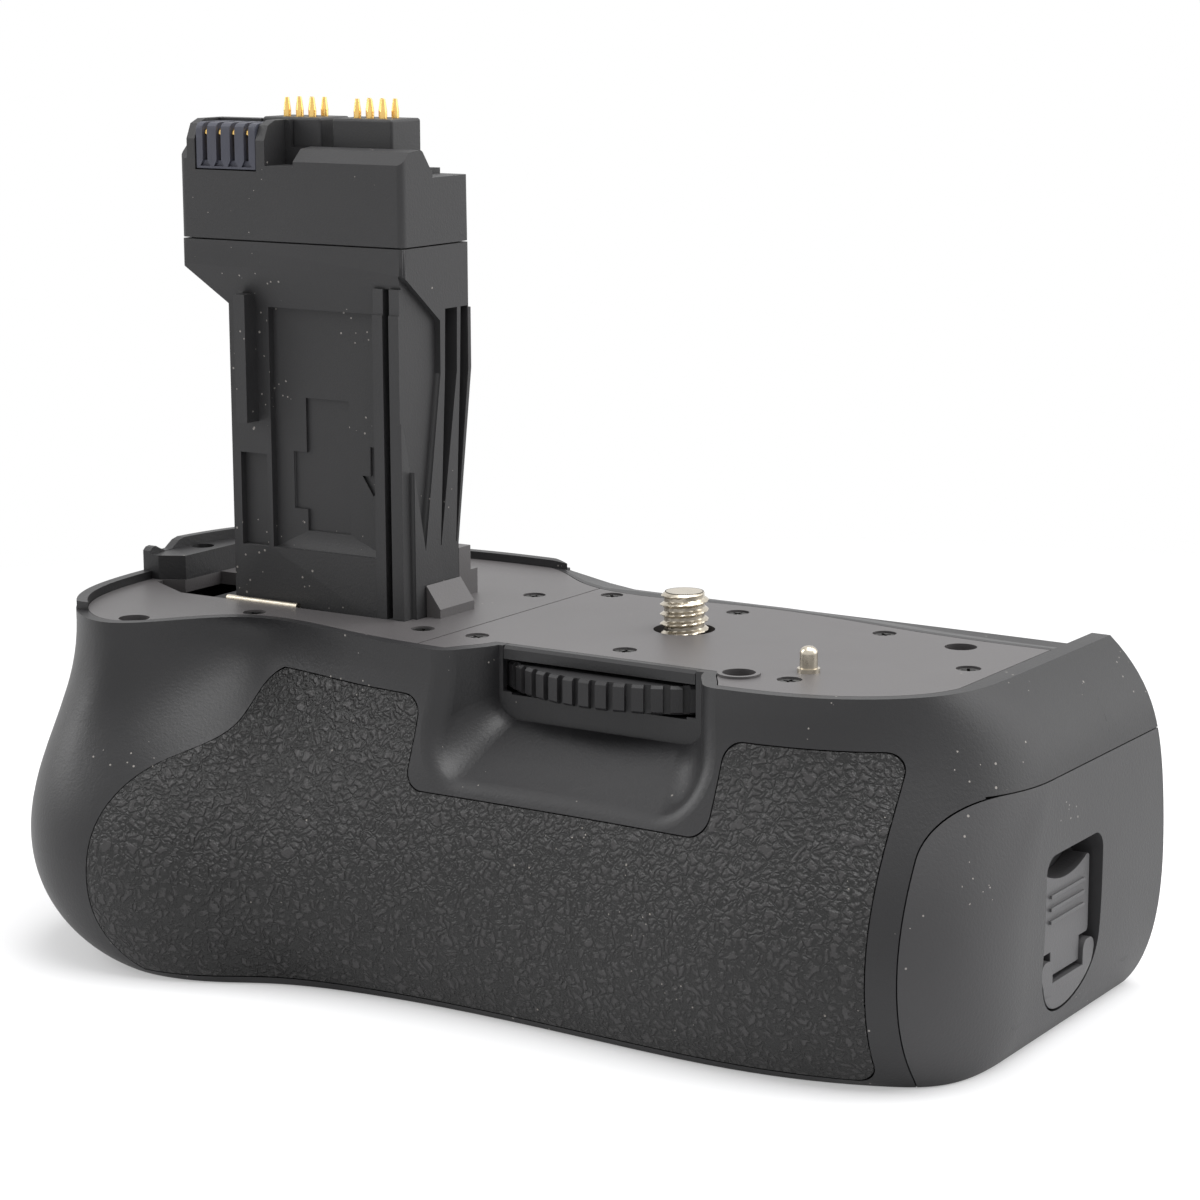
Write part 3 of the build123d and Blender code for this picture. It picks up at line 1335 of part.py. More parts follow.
# Attachment screw, wheel and bearing
with BuildPart() as attachment_wheel:
    rim_inner = wheel_radius - wheel_rim_width
    groove_count = round(2 * math.pi * wheel_radius / wheel_rib_pitch)
    groove_width = wheel_rib_pitch * (1 - wheel_rib_share)
    with BuildSketch(Plane.XY.offset(wheel_bottom_z)):
        Circle(wheel_radius)
    extrude(amount=wheel_thickness)
    chamfer(edges(), wheel_rib_depth / 2)
    with BuildSketch(Plane.XY.offset(wheel_bottom_z)):
        with PolarLocations(wheel_radius, groove_count):
            Rectangle(2 * wheel_rib_depth, groove_width)
    extrude(amount=wheel_thickness, mode=Mode.SUBTRACT)
    for face_z, way in ((wheel_top_z, -1), (wheel_bottom_z, 1)):
        with BuildSketch(Plane.XY.offset(face_z)):
            Circle(rim_inner)
            Circle(wheel_hub_radius, mode=Mode.SUBTRACT)
        extrude(amount=way * wheel_web_recess, mode=Mode.SUBTRACT)
    with BuildSketch(Plane.XY.offset(wheel_bottom_z)):
        Circle(shaft_diameter / 2)
    extrude(amount=wheel_thickness, mode=Mode.SUBTRACT)
write(attachment_wheel.part, "attachment_wheel")

shaft_bottom_z = chamber_top_z - chamber_wall + bearing_end_gap
with BuildPart() as attachment_screw:
    with BuildSketch(Plane.XZ):
        with BuildLine():
            screw_radius = screw_diameter / 2
            neck_radius = screw_neck_diameter / 2
            Polyline(
                (0, shaft_bottom_z),
                (shaft_diameter / 2, shaft_bottom_z),
                (shaft_diameter / 2, wheel_top_z),
                (neck_radius, wheel_top_z),
                (neck_radius, -screw_neck_drop),
                (screw_radius, -screw_neck_drop),
                (screw_radius, screw_reach - screw_tip_chamfer),
                (screw_radius - screw_tip_chamfer, screw_reach),
                (0, screw_reach),
                close=True,
            )
        make_face()
    revolve(axis=Axis.Z)
write(attachment_screw.part, "attachment_screw")

with BuildPart() as wheel_bearing:
    with Locations((0, 0, chamber_top_z)):
        Cylinder(bearing_flange_radius, bearing_flange_thickness,
                 align=(Align.CENTER, Align.CENTER, Align.MIN))
        bearing_height = wheel_bottom_z - bearing_wheel_gap - chamber_top_z
        Cylinder(bearing_radius, bearing_height, align=(Align.CENTER, Align.CENTER, Align.MIN))
        Cylinder(bearing_radius, chamber_wall, align=(Align.CENTER, Align.CENTER, Align.MAX))
    with BuildSketch(Plane.XY.offset(chamber_top_z - chamber_wall)):
        Circle(shaft_diameter / 2 + shaft_gap)
    extrude(amount=chamber_wall + bearing_height, mode=Mode.SUBTRACT)
write(wheel_bearing.part, "wheel_bearing")

pin_place = (pin_from_axis_x, -pin_from_axis_y)
with BuildPart() as locating_pin:
    with BuildSketch():
        with Locations(pin_place):
            Circle(pin_diameter / 2)
    extrude(amount=pin_reach)
    fillet(edges().group_by(Axis.Z)[-1], pin_diameter / 2 * pin_round_share)
    with BuildSketch(Plane.XY.offset(-pin_root)):
        with Locations(pin_place):
            Circle(pin_collar_diameter / 2)
    extrude(amount=pin_root + pin_collar_height)
write(locating_pin.part, "locating_pin")

# Chamber for the tray
with BuildPart() as magazine_chamber:
    add(block((chamber_left_x, end_wall_left_x), (chamber_front_y, chamber_back_y),
              (floor_top_z, chamber_top_z)))
    add(block((chamber_left_x + chamber_wall, end_wall_left_x), mouth_y,
              (floor_top_z, chamber_top_z - chamber_wall)), mode=Mode.SUBTRACT)
    with BuildSketch(Plane.XY.offset(chamber_top_z - chamber_wall)):
        Circle(bearing_radius)
    extrude(amount=chamber_wall, mode=Mode.SUBTRACT)
write(magazine_chamber.part, "magazine_chamber")

contact_pitch_z = battery_height * tray_contact_share
contact_z = [bay_split_z[0] + contact_pitch_z * (n + 1) for n in range(tray_contact_count)]
contact_z += [bay_split_z[1] - contact_pitch_z * (n + 1) for n in range(tray_contact_count)]
contact_size = (contact_pitch_z * 2, contact_pitch_z * tray_contact_fill)
for name, face_x, reach in (
    ("tray_contacts", tray_left_x, -contact_space * tray_contact_reach),
    ("chamber_contacts", chamber_left_x + chamber_wall, contact_space * chamber_contact_reach),
):
    with BuildPart() as contacts:
        with BuildSketch(Plane.YZ.offset(face_x)):
            with Locations(*[(chamber_centre_y, z) for z in contact_z]):
                Rectangle(*contact_size)
        extrude(amount=reach)
    write(contacts.part, name)

# Parts of the latch
slider_face_x = cap_face_x - slider_recess
slider_z = [-latch_top_drop - share * latch_height for share in slider_height_shares]
slider_half = slider_width / 2
latch_floor = Plane(origin=(slot_floor_x + skin_gap, latch_centre_y, 0), x_dir=(0, 1, 0), z_dir=(1, 0, 0))
with BuildPart() as latch_slider:
    with BuildSketch(latch_floor):
        with BuildLine():
            scallop = slider_half * slider_scallop_share
            tail_half = slider_half * slider_tail_share
            Polyline(
                (-scallop, slider_z[0]), (-slider_half, slider_z[0]), (-slider_half, slider_z[1]),
                (-tail_half, slider_z[1]), (-tail_half, slider_z[2]), (tail_half, slider_z[2]),
                (tail_half, slider_z[1]), (slider_half, slider_z[1]), (slider_half, slider_z[0]),
                (scallop, slider_z[0]),
            )
            scallop_low = (0, slider_z[0] - slider_scallop_depth)
            ThreePointArc((scallop, slider_z[0]), scallop_low, (-scallop, slider_z[0]))
        make_face()
    extrude(amount=slider_face_x - slot_floor_x - skin_gap)
    side_edges = edges().filter_by(Axis.X).group_by(Axis.Y)
    fillet(side_edges[0] + side_edges[-1], slider_corner_radius)
    with BuildSketch(Plane.YZ.offset(slider_face_x)):
        rib_places = [(latch_centre_y, slider_z[0] - slider_rib_start - slider_rib_pitch * n)
                      for n in range(slider_rib_count)]
        with Locations(*rib_places):
            Rectangle(2 * slider_half * slider_rib_share, slider_rib_pitch * slider_rib_fill)
    extrude(amount=slider_rib_rise)
write(latch_slider.part, "latch_slider")

plate_top_z = -latch_top_drop - latch_plate_top_share * latch_height
cut_half = slider_half * slider_tail_share + latch_gap
with BuildPart() as latch_plate:
    add(latch_slot.part)
    plate_x = (slot_floor_x, cap_face_x - latch_plate_recess)
    add(block(plate_x, (-far, far), (-far, plate_top_z)), mode=Mode.INTERSECT)
    cut_y = (latch_centre_y - cut_half, latch_centre_y + cut_half)
    add(block((slot_floor_x, far), cut_y, (slider_z[2] - latch_end_gap, 0)), mode=Mode.SUBTRACT)
    fillet(edges().filter_by(Axis.X).group_by(Axis.Z)[-1], latch_ear_radius)
    add(outer_form, mode=Mode.INTERSECT)
write(latch_plate.part, "latch_plate")


# Holder for the camera's battery door, on the rim beside the stem: a low block with a screw hole
# and a wall along the rim whose top dips behind its front end. Shares of the block's depth from the
# front and of the wall's height.
holder_wall_shares = (
    (0.0, 0.0), (0.0, 0.81), (0.03, 0.90), (0.07, 0.92), (0.11, 0.84), (0.18, 0.72), (0.25, 0.73),
    (0.33, 0.94), (0.39, 1.0), (1.0, 1.0), (1.0, 0.0),
)
holder_depth = holder_back_from_axis + holder_front_from_axis
with BuildPart() as door_holder:
    with BuildSketch():
        with BuildLine():
            Polyline(
                (-far, holder_back_from_axis),
                (-far, holder_front_y),
                (holder_right_x - holder_corner[0], holder_front_y),
                (holder_right_x, holder_front_y + holder_corner[1]),
                (holder_right_x, holder_back_from_axis),
                close=True,
            )
        make_face()
    extrude(amount=holder_height)
    with BuildSketch():
        with Locations(holder_screw_place):
            Circle(holder_screw_diameter / 2)
    extrude(amount=holder_height, mode=Mode.SUBTRACT)
    with BuildSketch():
        with Locations(holder_screw_place):
            Circle(holder_screw_diameter / 2)
    extrude(amount=holder_height - holder_screw_depth)
    with BuildSketch(Plane.YZ.offset(-far)):
        with BuildLine():
            Polyline(*[(holder_front_y + depth * holder_depth, height * holder_wall_height)
                       for depth, height in holder_wall_shares], close=True)
        make_face()
    wall_profile = extrude(amount=far, mode=Mode.PRIVATE)
    rim_inside = rim_prism(skin_gap + holder_wall_thickness, holder_wall_height, 0)
    add(wall_profile & block((-far, holder_right_x), (-far, far), (0, far)) - rim_inside)
    add(rim_prism(skin_gap, holder_wall_height, 0), mode=Mode.INTERSECT)
write(door_holder.part, "door_holder")

rod_y = pocket_y[0] + rod_radius
rod_x = (stem_x(rod_shares[0]), stem_x(rod_shares[1]))
with BuildPart() as door_rod:
    with BuildSketch(Plane.YZ.offset(rod_x[0])):
        with Locations((rod_y, 0)):
            Circle(rod_radius)
    extrude(amount=rod_x[1] - rod_x[0])
write(door_rod.part, "door_rod")
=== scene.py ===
# %% [markdown]
# This script dresses a camera battery grip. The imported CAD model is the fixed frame: its pieces
# keep their places and shapes, and this file adds finishes, small fasteners, threads, a camera and
# light.
# Lengths are in metres. X runs along the body towards the magazine latch, Y away from the hand
# grip, and Z up along the attachment screw, whose foot on the seating plate is the origin.

# %% Load the frame
import math

import bpy
from mathutils import Matrix, Vector


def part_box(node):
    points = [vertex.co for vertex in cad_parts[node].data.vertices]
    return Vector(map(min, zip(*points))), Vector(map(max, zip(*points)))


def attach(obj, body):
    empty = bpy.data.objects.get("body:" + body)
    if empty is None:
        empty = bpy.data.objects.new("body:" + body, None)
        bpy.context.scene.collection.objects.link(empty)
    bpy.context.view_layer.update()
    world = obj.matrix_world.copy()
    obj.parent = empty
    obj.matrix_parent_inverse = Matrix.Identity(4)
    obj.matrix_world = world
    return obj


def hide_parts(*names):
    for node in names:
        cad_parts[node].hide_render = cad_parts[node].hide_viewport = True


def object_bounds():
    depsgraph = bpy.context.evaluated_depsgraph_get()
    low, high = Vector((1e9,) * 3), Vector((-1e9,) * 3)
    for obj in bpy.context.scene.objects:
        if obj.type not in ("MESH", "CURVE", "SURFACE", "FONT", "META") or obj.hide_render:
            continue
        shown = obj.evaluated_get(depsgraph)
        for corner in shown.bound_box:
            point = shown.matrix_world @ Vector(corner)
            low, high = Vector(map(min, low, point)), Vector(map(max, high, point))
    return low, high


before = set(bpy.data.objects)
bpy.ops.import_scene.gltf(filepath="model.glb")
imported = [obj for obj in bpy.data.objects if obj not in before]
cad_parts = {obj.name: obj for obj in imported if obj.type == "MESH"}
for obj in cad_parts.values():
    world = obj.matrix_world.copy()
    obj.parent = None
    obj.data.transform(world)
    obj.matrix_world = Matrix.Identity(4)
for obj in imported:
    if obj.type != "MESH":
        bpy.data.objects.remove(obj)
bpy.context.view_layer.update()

MM = 0.001

# %% [markdown]
# The photograph looks down a little from the front right, from about 0.4 m away, with a long lens.
# The camera is turned by three angles: round the vertical, down, and a slight roll.

# %% Camera
camera_data = bpy.data.cameras.new("view_camera")
camera_data.sensor_width = 36
camera_data.lens = 94.99
camera_data.clip_start = 0.01
camera_data.clip_end = 20
camera = bpy.data.objects.new("view_camera", camera_data)
bpy.context.scene.collection.objects.link(camera)
view_azimuth, view_elevation = math.radians(32.78), math.radians(11.27)
view_roll = math.radians(-0.2)
view_turn = (
    Matrix.Rotation(view_azimuth, 3, "Z")
    @ Matrix.Rotation(math.pi / 2 - view_elevation, 3, "X")
    @ Matrix.Rotation(view_roll, 3, "Z")
)
camera.rotation_euler = view_turn.to_euler()
camera.location = (0.20755, -0.34237, 0.08360)
bpy.context.scene.camera = camera
print("camera at", tuple(round(v, 3) for v in camera.location))

# %% [markdown]
# A product is photographed on white paper. Here a large flat floor lies just under the base. Its
# colour is pale, and rays from the camera see it as plain white further out, so that no extra light
# has to fall on the object to make it white.

# %% Floor and backdrop
def deselect():
    """Nothing stays selected, so that the next operator acts on its own piece alone."""
    if bpy.context.object and bpy.context.object.mode != "OBJECT":
        bpy.ops.object.mode_set(mode="OBJECT")
    bpy.ops.object.select_all(action="DESELECT")


def new_material(name, colour, roughness=0.5, metallic=0.0):
    """A material with its Principled shader, returned with its node tree's parts."""
    material = bpy.data.materials.new(name)
    material.use_nodes = True
    shader = material.node_tree.nodes["Principled BSDF"]
    shader.inputs["Base Color"].default_value = (*colour, 1)
    shader.inputs["Roughness"].default_value = roughness
    shader.inputs["Metallic"].default_value = metallic
    return material, material.node_tree, shader


FLOOR_SIZE, FLOOR_GAP = 8, 0.0002
floor_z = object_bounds()[0][2]
deselect()
bpy.ops.mesh.primitive_plane_add(size=FLOOR_SIZE, location=(0, 0, floor_z - FLOOR_GAP))
floor = bpy.context.object
floor.name = "paper_floor"
paper, paper_tree, paper_shader = new_material("white_paper", (0.86, 0.86, 0.87), 0.9)
floor.data.materials.append(paper)
print("floor at", round(floor_z, 4))

# %% [markdown]
# Paper under a studio light reads as white at a distance and shows a soft shadow near the object.
# The material mixes its plain shading with a white glow that only camera, mirror and glass rays
# see. The mix grows with distance from the object, so the contact shadow stays.

# %% White surroundings
nodes, links = paper_tree.nodes, paper_tree.links
light_path = nodes.new("ShaderNodeLightPath")
coordinates = nodes.new("ShaderNodeTexCoord")
distance = nodes.new("ShaderNodeVectorMath")
distance.operation = "LENGTH"
fade = nodes.new("ShaderNodeMapRange")
fade.inputs["From Min"].default_value = 0.10
fade.inputs["From Max"].default_value = 0.32
fade.inputs["To Min"].default_value = 0.35
fade.inputs["To Max"].default_value = 1.0
seen = nodes.new("ShaderNodeMath")
seen.operation = "MAXIMUM"
seen_glass = nodes.new("ShaderNodeMath")
seen_glass.operation = "MAXIMUM"
share = nodes.new("ShaderNodeMath")
share.operation = "MULTIPLY"
glow = nodes.new("ShaderNodeEmission")
glow.inputs["Color"].default_value = (1, 1, 1, 1)
glow.inputs["Strength"].default_value = 1.0
mixed = nodes.new("ShaderNodeMixShader")
links.new(coordinates.outputs["Object"], distance.inputs[0])
links.new(distance.outputs["Value"], fade.inputs["Value"])
links.new(light_path.outputs["Is Camera Ray"], seen.inputs[0])
links.new(light_path.outputs["Is Glossy Ray"], seen.inputs[1])
links.new(seen.outputs[0], seen_glass.inputs[0])
links.new(light_path.outputs["Is Transmission Ray"], seen_glass.inputs[1])
links.new(seen_glass.outputs[0], share.inputs[0])
links.new(fade.outputs["Result"], share.inputs[1])
links.new(share.outputs[0], mixed.inputs[0])
links.new(paper_shader.outputs[0], mixed.inputs[1])
links.new(glow.outputs[0], mixed.inputs[2])
links.new(mixed.outputs[0], nodes["Material Output"].inputs["Surface"])

world = bpy.data.worlds.new("studio_world")
world.use_nodes = True
bpy.context.scene.world = world
world_nodes, world_links = world.node_tree.nodes, world.node_tree.links
world_path = world_nodes.new("ShaderNodeLightPath")
world_seen = world_nodes.new("ShaderNodeMath")
world_seen.operation = "MAXIMUM"
world_white = world_nodes.new("ShaderNodeMath")
world_white.operation = "MAXIMUM"
world_level = world_nodes.new("ShaderNodeMapRange")
world_level.inputs["To Min"].default_value = 0.55
world_level.inputs["To Max"].default_value = 1.0
world_links.new(world_path.outputs["Is Camera Ray"], world_seen.inputs[0])
world_links.new(world_path.outputs["Is Glossy Ray"], world_seen.inputs[1])
world_links.new(world_seen.outputs[0], world_white.inputs[0])
world_links.new(world_path.outputs["Is Transmission Ray"], world_white.inputs[1])
world_links.new(world_white.outputs[0], world_level.inputs["Value"])
world_links.new(world_level.outputs["Result"], world_nodes["Background"].inputs["Strength"])
world_nodes["Background"].inputs["Color"].default_value = (1, 1, 1, 1)
print("surroundings are white to the camera")

# %% [markdown]
# Three soft boxes light the grip: a broad one from above, a weak one from the left, and one behind
# on the right whose light glances off the end cap. The front stays darker than the top and the end,
# which is what gives the black plastic its shape. All stay at a plain level.

# %% Lamps
def soft_box(name, place, size, power):
    """A square area lamp that points at the middle of the grip."""
    lamp = bpy.data.lights.new(name, "AREA")
    lamp.shape = "SQUARE"
    lamp.size = size
    lamp.energy = power
    holder = bpy.data.objects.new(name, lamp)
    holder.location = place
    aim = Vector((-0.01, 0, 0)) - Vector(place)
    holder.rotation_euler = aim.to_track_quat("-Z", "Y").to_euler()
    bpy.context.scene.collection.objects.link(holder)


soft_box("top_box", (0.15, 0.05, 0.9), 0.8, 11)
soft_box("left_box", (-0.85, -0.25, 0.45), 0.6, 4)
soft_box("right_box", (0.85, 0.62, 0.50), 1.1, 7.5)

# %% [markdown]
# Effects that several finishes share are node groups: a fine moulded grain, and the pale specks of
# dust that lie on the grip. Each gives out a value only, which a material feeds to its own shader.

# %% Shared effects
def value_group(name, inputs, output):
    """An empty node group with named value inputs and one named output."""
    group = bpy.data.node_groups.new(name, "ShaderNodeTree")
    for label, start in inputs.items():
        socket = group.interface.new_socket(label, in_out="INPUT", socket_type="NodeSocketFloat")
        socket.default_value = start
    group.interface.new_socket(output, in_out="OUTPUT", socket_type="NodeSocketFloat")
    return group, group.nodes.new("NodeGroupInput"), group.nodes.new("NodeGroupOutput")


grain_group, grain_in, grain_out = value_group(
    "moulded_grain", {"Scale": 2500.0, "Roughness": 0.6}, "Height"
)
grain_place = grain_group.nodes.new("ShaderNodeTexCoord")
grain_noise = grain_group.nodes.new("ShaderNodeTexNoise")
grain_noise.inputs["Detail"].default_value = 3
grain_group.links.new(grain_place.outputs["Object"], grain_noise.inputs["Vector"])
grain_group.links.new(grain_in.outputs["Scale"], grain_noise.inputs["Scale"])
grain_group.links.new(grain_in.outputs["Roughness"], grain_noise.inputs["Roughness"])
grain_group.links.new(grain_noise.outputs["Fac"], grain_out.inputs["Height"])

dust_group, dust_in, dust_out = value_group(
    "dust_specks", {"Scale": 900.0, "Size": 0.10, "Cover": 0.60}, "Mask"
)
dust_place = dust_group.nodes.new("ShaderNodeTexCoord")
dust_cells = dust_group.nodes.new("ShaderNodeTexVoronoi")
dust_patch = dust_group.nodes.new("ShaderNodeTexNoise")
dust_patch.inputs["Scale"].default_value = 75
dust_patch.inputs["Detail"].default_value = 4
dust_uneven = dust_group.nodes.new("ShaderNodeMath")
dust_uneven.operation = "MULTIPLY"
dust_small = dust_group.nodes.new("ShaderNodeMath")
dust_small.operation = "LESS_THAN"
dust_here = dust_group.nodes.new("ShaderNodeMath")
dust_here.operation = "GREATER_THAN"
dust_both = dust_group.nodes.new("ShaderNodeMath")
dust_both.operation = "MULTIPLY"
dust_group.links.new(dust_place.outputs["Object"], dust_cells.inputs["Vector"])
dust_group.links.new(dust_place.outputs["Object"], dust_patch.inputs["Vector"])
dust_group.links.new(dust_in.outputs["Scale"], dust_cells.inputs["Scale"])
dust_group.links.new(dust_cells.outputs["Distance"], dust_small.inputs[0])
dust_group.links.new(dust_in.outputs["Size"], dust_uneven.inputs[0])
dust_group.links.new(dust_cells.outputs["Color"], dust_uneven.inputs[1])
dust_group.links.new(dust_uneven.outputs[0], dust_small.inputs[1])
dust_group.links.new(dust_patch.outputs["Fac"], dust_here.inputs[0])
dust_group.links.new(dust_in.outputs["Cover"], dust_here.inputs[1])
dust_group.links.new(dust_small.outputs[0], dust_both.inputs[0])
dust_group.links.new(dust_here.outputs[0], dust_both.inputs[1])
dust_group.links.new(dust_both.outputs[0], dust_out.inputs["Mask"])
print("groups:", [g.name for g in bpy.data.node_groups])

# %% [markdown]
# The housings are moulded in dark grey plastic with a fine spark texture. The colour wanders a
# little, the grain gives a soft broken gloss, and pale specks of dust lie here and there.

# %% Moulded plastic
def add_group(tree, group, **values):
    """The shared effect, placed in a material with its own values."""
    node = tree.nodes.new("ShaderNodeGroup")
    node.node_tree = group
    for label, value in values.items():
        node.inputs[label].default_value = value
    return node


def moulded(name, dark, light, roughness, grain_scale, grain_depth, dust_cover, gloss_level=0.32):
    """Moulded plastic: two close greys, a fine grain and specks of dust."""
    material, tree, shader = new_material(name, light, roughness)
    shader.inputs["Specular IOR Level"].default_value = gloss_level
    place = tree.nodes.new("ShaderNodeTexCoord")
    wander = tree.nodes.new("ShaderNodeTexNoise")
    wander.inputs["Scale"].default_value = 60
    wander.inputs["Detail"].default_value = 5
    tone = tree.nodes.new("ShaderNodeMix")
    tone.data_type = "RGBA"
    tone.inputs["A"].default_value = (*dark, 1)
    tone.inputs["B"].default_value = (*light, 1)
    specks = add_group(tree, dust_group, Scale=900.0, Size=0.17, Cover=dust_cover)
    dusty = tree.nodes.new("ShaderNodeMix")
    dusty.data_type = "RGBA"
    dusty.inputs["B"].default_value = (0.22, 0.205, 0.19, 1)
    grain = add_group(tree, grain_group, Scale=grain_scale, Roughness=0.6)
    bump = tree.nodes.new("ShaderNodeBump")
    bump.inputs["Strength"].default_value = 0.5
    bump.inputs["Distance"].default_value = grain_depth
    gloss = tree.nodes.new("ShaderNodeMapRange")
    gloss.inputs["To Min"].default_value = roughness - 0.06
    gloss.inputs["To Max"].default_value = roughness + 0.08
    tree.links.new(place.outputs["Object"], wander.inputs["Vector"])
    tree.links.new(wander.outputs["Fac"], tone.inputs["Factor"])
    tree.links.new(wander.outputs["Fac"], gloss.inputs["Value"])
    tree.links.new(tone.outputs["Result"], dusty.inputs["A"])
    tree.links.new(specks.outputs["Mask"], dusty.inputs["Factor"])
    tree.links.new(dusty.outputs["Result"], shader.inputs["Base Color"])
    tree.links.new(gloss.outputs["Result"], shader.inputs["Roughness"])
    tree.links.new(grain.outputs["Height"], bump.inputs["Height"])
    tree.links.new(bump.outputs["Normal"], shader.inputs["Normal"])
    return material


housing_plastic = moulded(
    "housing_plastic", (0.009, 0.009, 0.010), (0.015, 0.0145, 0.0155), roughness=0.44,
    grain_scale=2600, grain_depth=0.00008, dust_cover=0.56, gloss_level=0.42,
)
cap_plastic = moulded(
    "cap_plastic", (0.022, 0.0215, 0.023), (0.031, 0.0302, 0.0315), roughness=0.50,
    grain_scale=2600, grain_depth=0.00008, dust_cover=0.60, gloss_level=0.5,
)
latch_plastic = moulded(
    "latch_plastic", (0.046, 0.045, 0.047), (0.060, 0.0585, 0.061), roughness=0.46,
    grain_scale=3000, grain_depth=0.00006, dust_cover=0.64, gloss_level=0.6,
)
plate_finish = moulded(
    "plate_finish", (0.062, 0.058, 0.059), (0.080, 0.075, 0.076), roughness=0.42,
    grain_scale=3400, grain_depth=0.00005, dust_cover=0.64, gloss_level=0.5,
)
stem_plastic = moulded(
    "stem_plastic", (0.019, 0.019, 0.020), (0.029, 0.0284, 0.0295), roughness=0.50,
    grain_scale=3000, grain_depth=0.00006, dust_cover=0.55, gloss_level=0.36,
)
wheel_plastic = moulded(
    "wheel_plastic", (0.013, 0.013, 0.014), (0.022, 0.021, 0.022), roughness=0.50,
    grain_scale=3000, grain_depth=0.00006, dust_cover=0.52,
)
tray_plastic = moulded(
    "tray_plastic", (0.012, 0.012, 0.013), (0.018, 0.018, 0.019), roughness=0.55,
    grain_scale=2600, grain_depth=0.00006, dust_cover=0.66,
)
contact_plastic = moulded(
    "contact_plastic", (0.040, 0.042, 0.056), (0.062, 0.064, 0.082), roughness=0.5,
    grain_scale=3000, grain_depth=0.00006, dust_cover=0.62,
)
bearing_plastic = moulded(
    "bearing_plastic", (0.55, 0.54, 0.50), (0.68, 0.67, 0.62), roughness=0.35,
    grain_scale=2200, grain_depth=0.00003, dust_cover=0.70,
)
print("plastics:", [m.name for m in bpy.data.materials])

# %% [markdown]
# The hand grip is rubber with a pebbled leather grain: soft rounded pebbles a little over a
# millimetre across, with narrow creases between them. The distance to the edge of a cell
# pattern gives the pebbles, noise bends the cells so that no two are alike, and a second, finer
# noise wrinkles their tops. The same distance also darkens the colour from the pebble tops down
# into the creases: that darkening is painted shade.

# %% Pebbled rubber
grip_rubber, rubber_tree, rubber_shader = new_material("grip_rubber", (0.016, 0.0155, 0.016), 0.46)
rubber_shader.inputs["Specular IOR Level"].default_value = 0.42
rubber_place = rubber_tree.nodes.new("ShaderNodeTexCoord")
rubber_bend = rubber_tree.nodes.new("ShaderNodeTexNoise")
rubber_bend.inputs["Scale"].default_value = 480
rubber_bend.inputs["Detail"].default_value = 3
rubber_shift = rubber_tree.nodes.new("ShaderNodeMix")
rubber_shift.data_type = "RGBA"
rubber_shift.blend_type = "LINEAR_LIGHT"
rubber_shift.inputs["Factor"].default_value = 0.0017
pebbles = rubber_tree.nodes.new("ShaderNodeTexVoronoi")
pebbles.feature = "DISTANCE_TO_EDGE"
pebbles.inputs["Scale"].default_value = 820
pebble_round = rubber_tree.nodes.new("ShaderNodeMapRange")
pebble_round.interpolation_type = "SMOOTHERSTEP"
pebble_round.inputs["From Min"].default_value = -0.02
pebble_round.inputs["From Max"].default_value = 0.34
wrinkles = rubber_tree.nodes.new("ShaderNodeTexNoise")
wrinkles.inputs["Scale"].default_value = 1500
wrinkles.inputs["Detail"].default_value = 4
rubber_sum = rubber_tree.nodes.new("ShaderNodeMath")
rubber_sum.operation = "MULTIPLY_ADD"
rubber_sum.inputs[1].default_value = 0.55
rubber_bump = rubber_tree.nodes.new("ShaderNodeBump")
rubber_bump.inputs["Strength"].default_value = 0.85
rubber_bump.inputs["Distance"].default_value = 0.00034
# Painted shade: the colour runs from a dark grey on the pebble tops to near black in the creases.
rubber_crease_shade = rubber_tree.nodes.new("ShaderNodeMix")
rubber_crease_shade.data_type = "RGBA"
rubber_crease_shade.inputs["A"].default_value = (0.004, 0.004, 0.004, 1)
rubber_crease_shade.inputs["B"].default_value = (0.027, 0.0258, 0.0262, 1)
rubber_dust = add_group(rubber_tree, dust_group, Scale=900.0, Size=0.15, Cover=0.58)
# The dust specks are mixed over the painted crease shade.
rubber_dust_and_crease_shade = rubber_tree.nodes.new("ShaderNodeMix")
rubber_dust_and_crease_shade.data_type = "RGBA"
rubber_dust_and_crease_shade.inputs["B"].default_value = (0.24, 0.22, 0.20, 1)
rubber_tree.links.new(rubber_place.outputs["Object"], rubber_bend.inputs["Vector"])
rubber_tree.links.new(rubber_place.outputs["Object"], rubber_shift.inputs["A"])
rubber_tree.links.new(rubber_place.outputs["Object"], wrinkles.inputs["Vector"])
rubber_tree.links.new(rubber_bend.outputs["Color"], rubber_shift.inputs["B"])
rubber_tree.links.new(rubber_shift.outputs["Result"], pebbles.inputs["Vector"])
rubber_tree.links.new(pebbles.outputs["Distance"], pebble_round.inputs["Value"])
rubber_tree.links.new(wrinkles.outputs["Fac"], rubber_sum.inputs[0])
rubber_tree.links.new(pebble_round.outputs["Result"], rubber_sum.inputs[2])
rubber_tree.links.new(rubber_sum.outputs[0], rubber_bump.inputs["Height"])
rubber_tree.links.new(rubber_bump.outputs["Normal"], rubber_shader.inputs["Normal"])
rubber_tree.links.new(pebble_round.outputs["Result"], rubber_crease_shade.inputs["Factor"])
rubber_tree.links.new(rubber_crease_shade.outputs["Result"], rubber_dust_and_crease_shade.inputs["A"])
rubber_tree.links.new(rubber_dust.outputs["Mask"], rubber_dust_and_crease_shade.inputs["Factor"])
rubber_tree.links.new(rubber_dust_and_crease_shade.outputs["Result"], rubber_shader.inputs["Base Color"])
print("rubber:", grip_rubber.name)

# %% [markdown]
# Metals: the attachment screw and the locating pin are plated, the small screws are blackened, and
# the contacts are gold. A faint noise in roughness keeps them from looking like perfect mirrors.
# The circuit boards have a green lacquer.

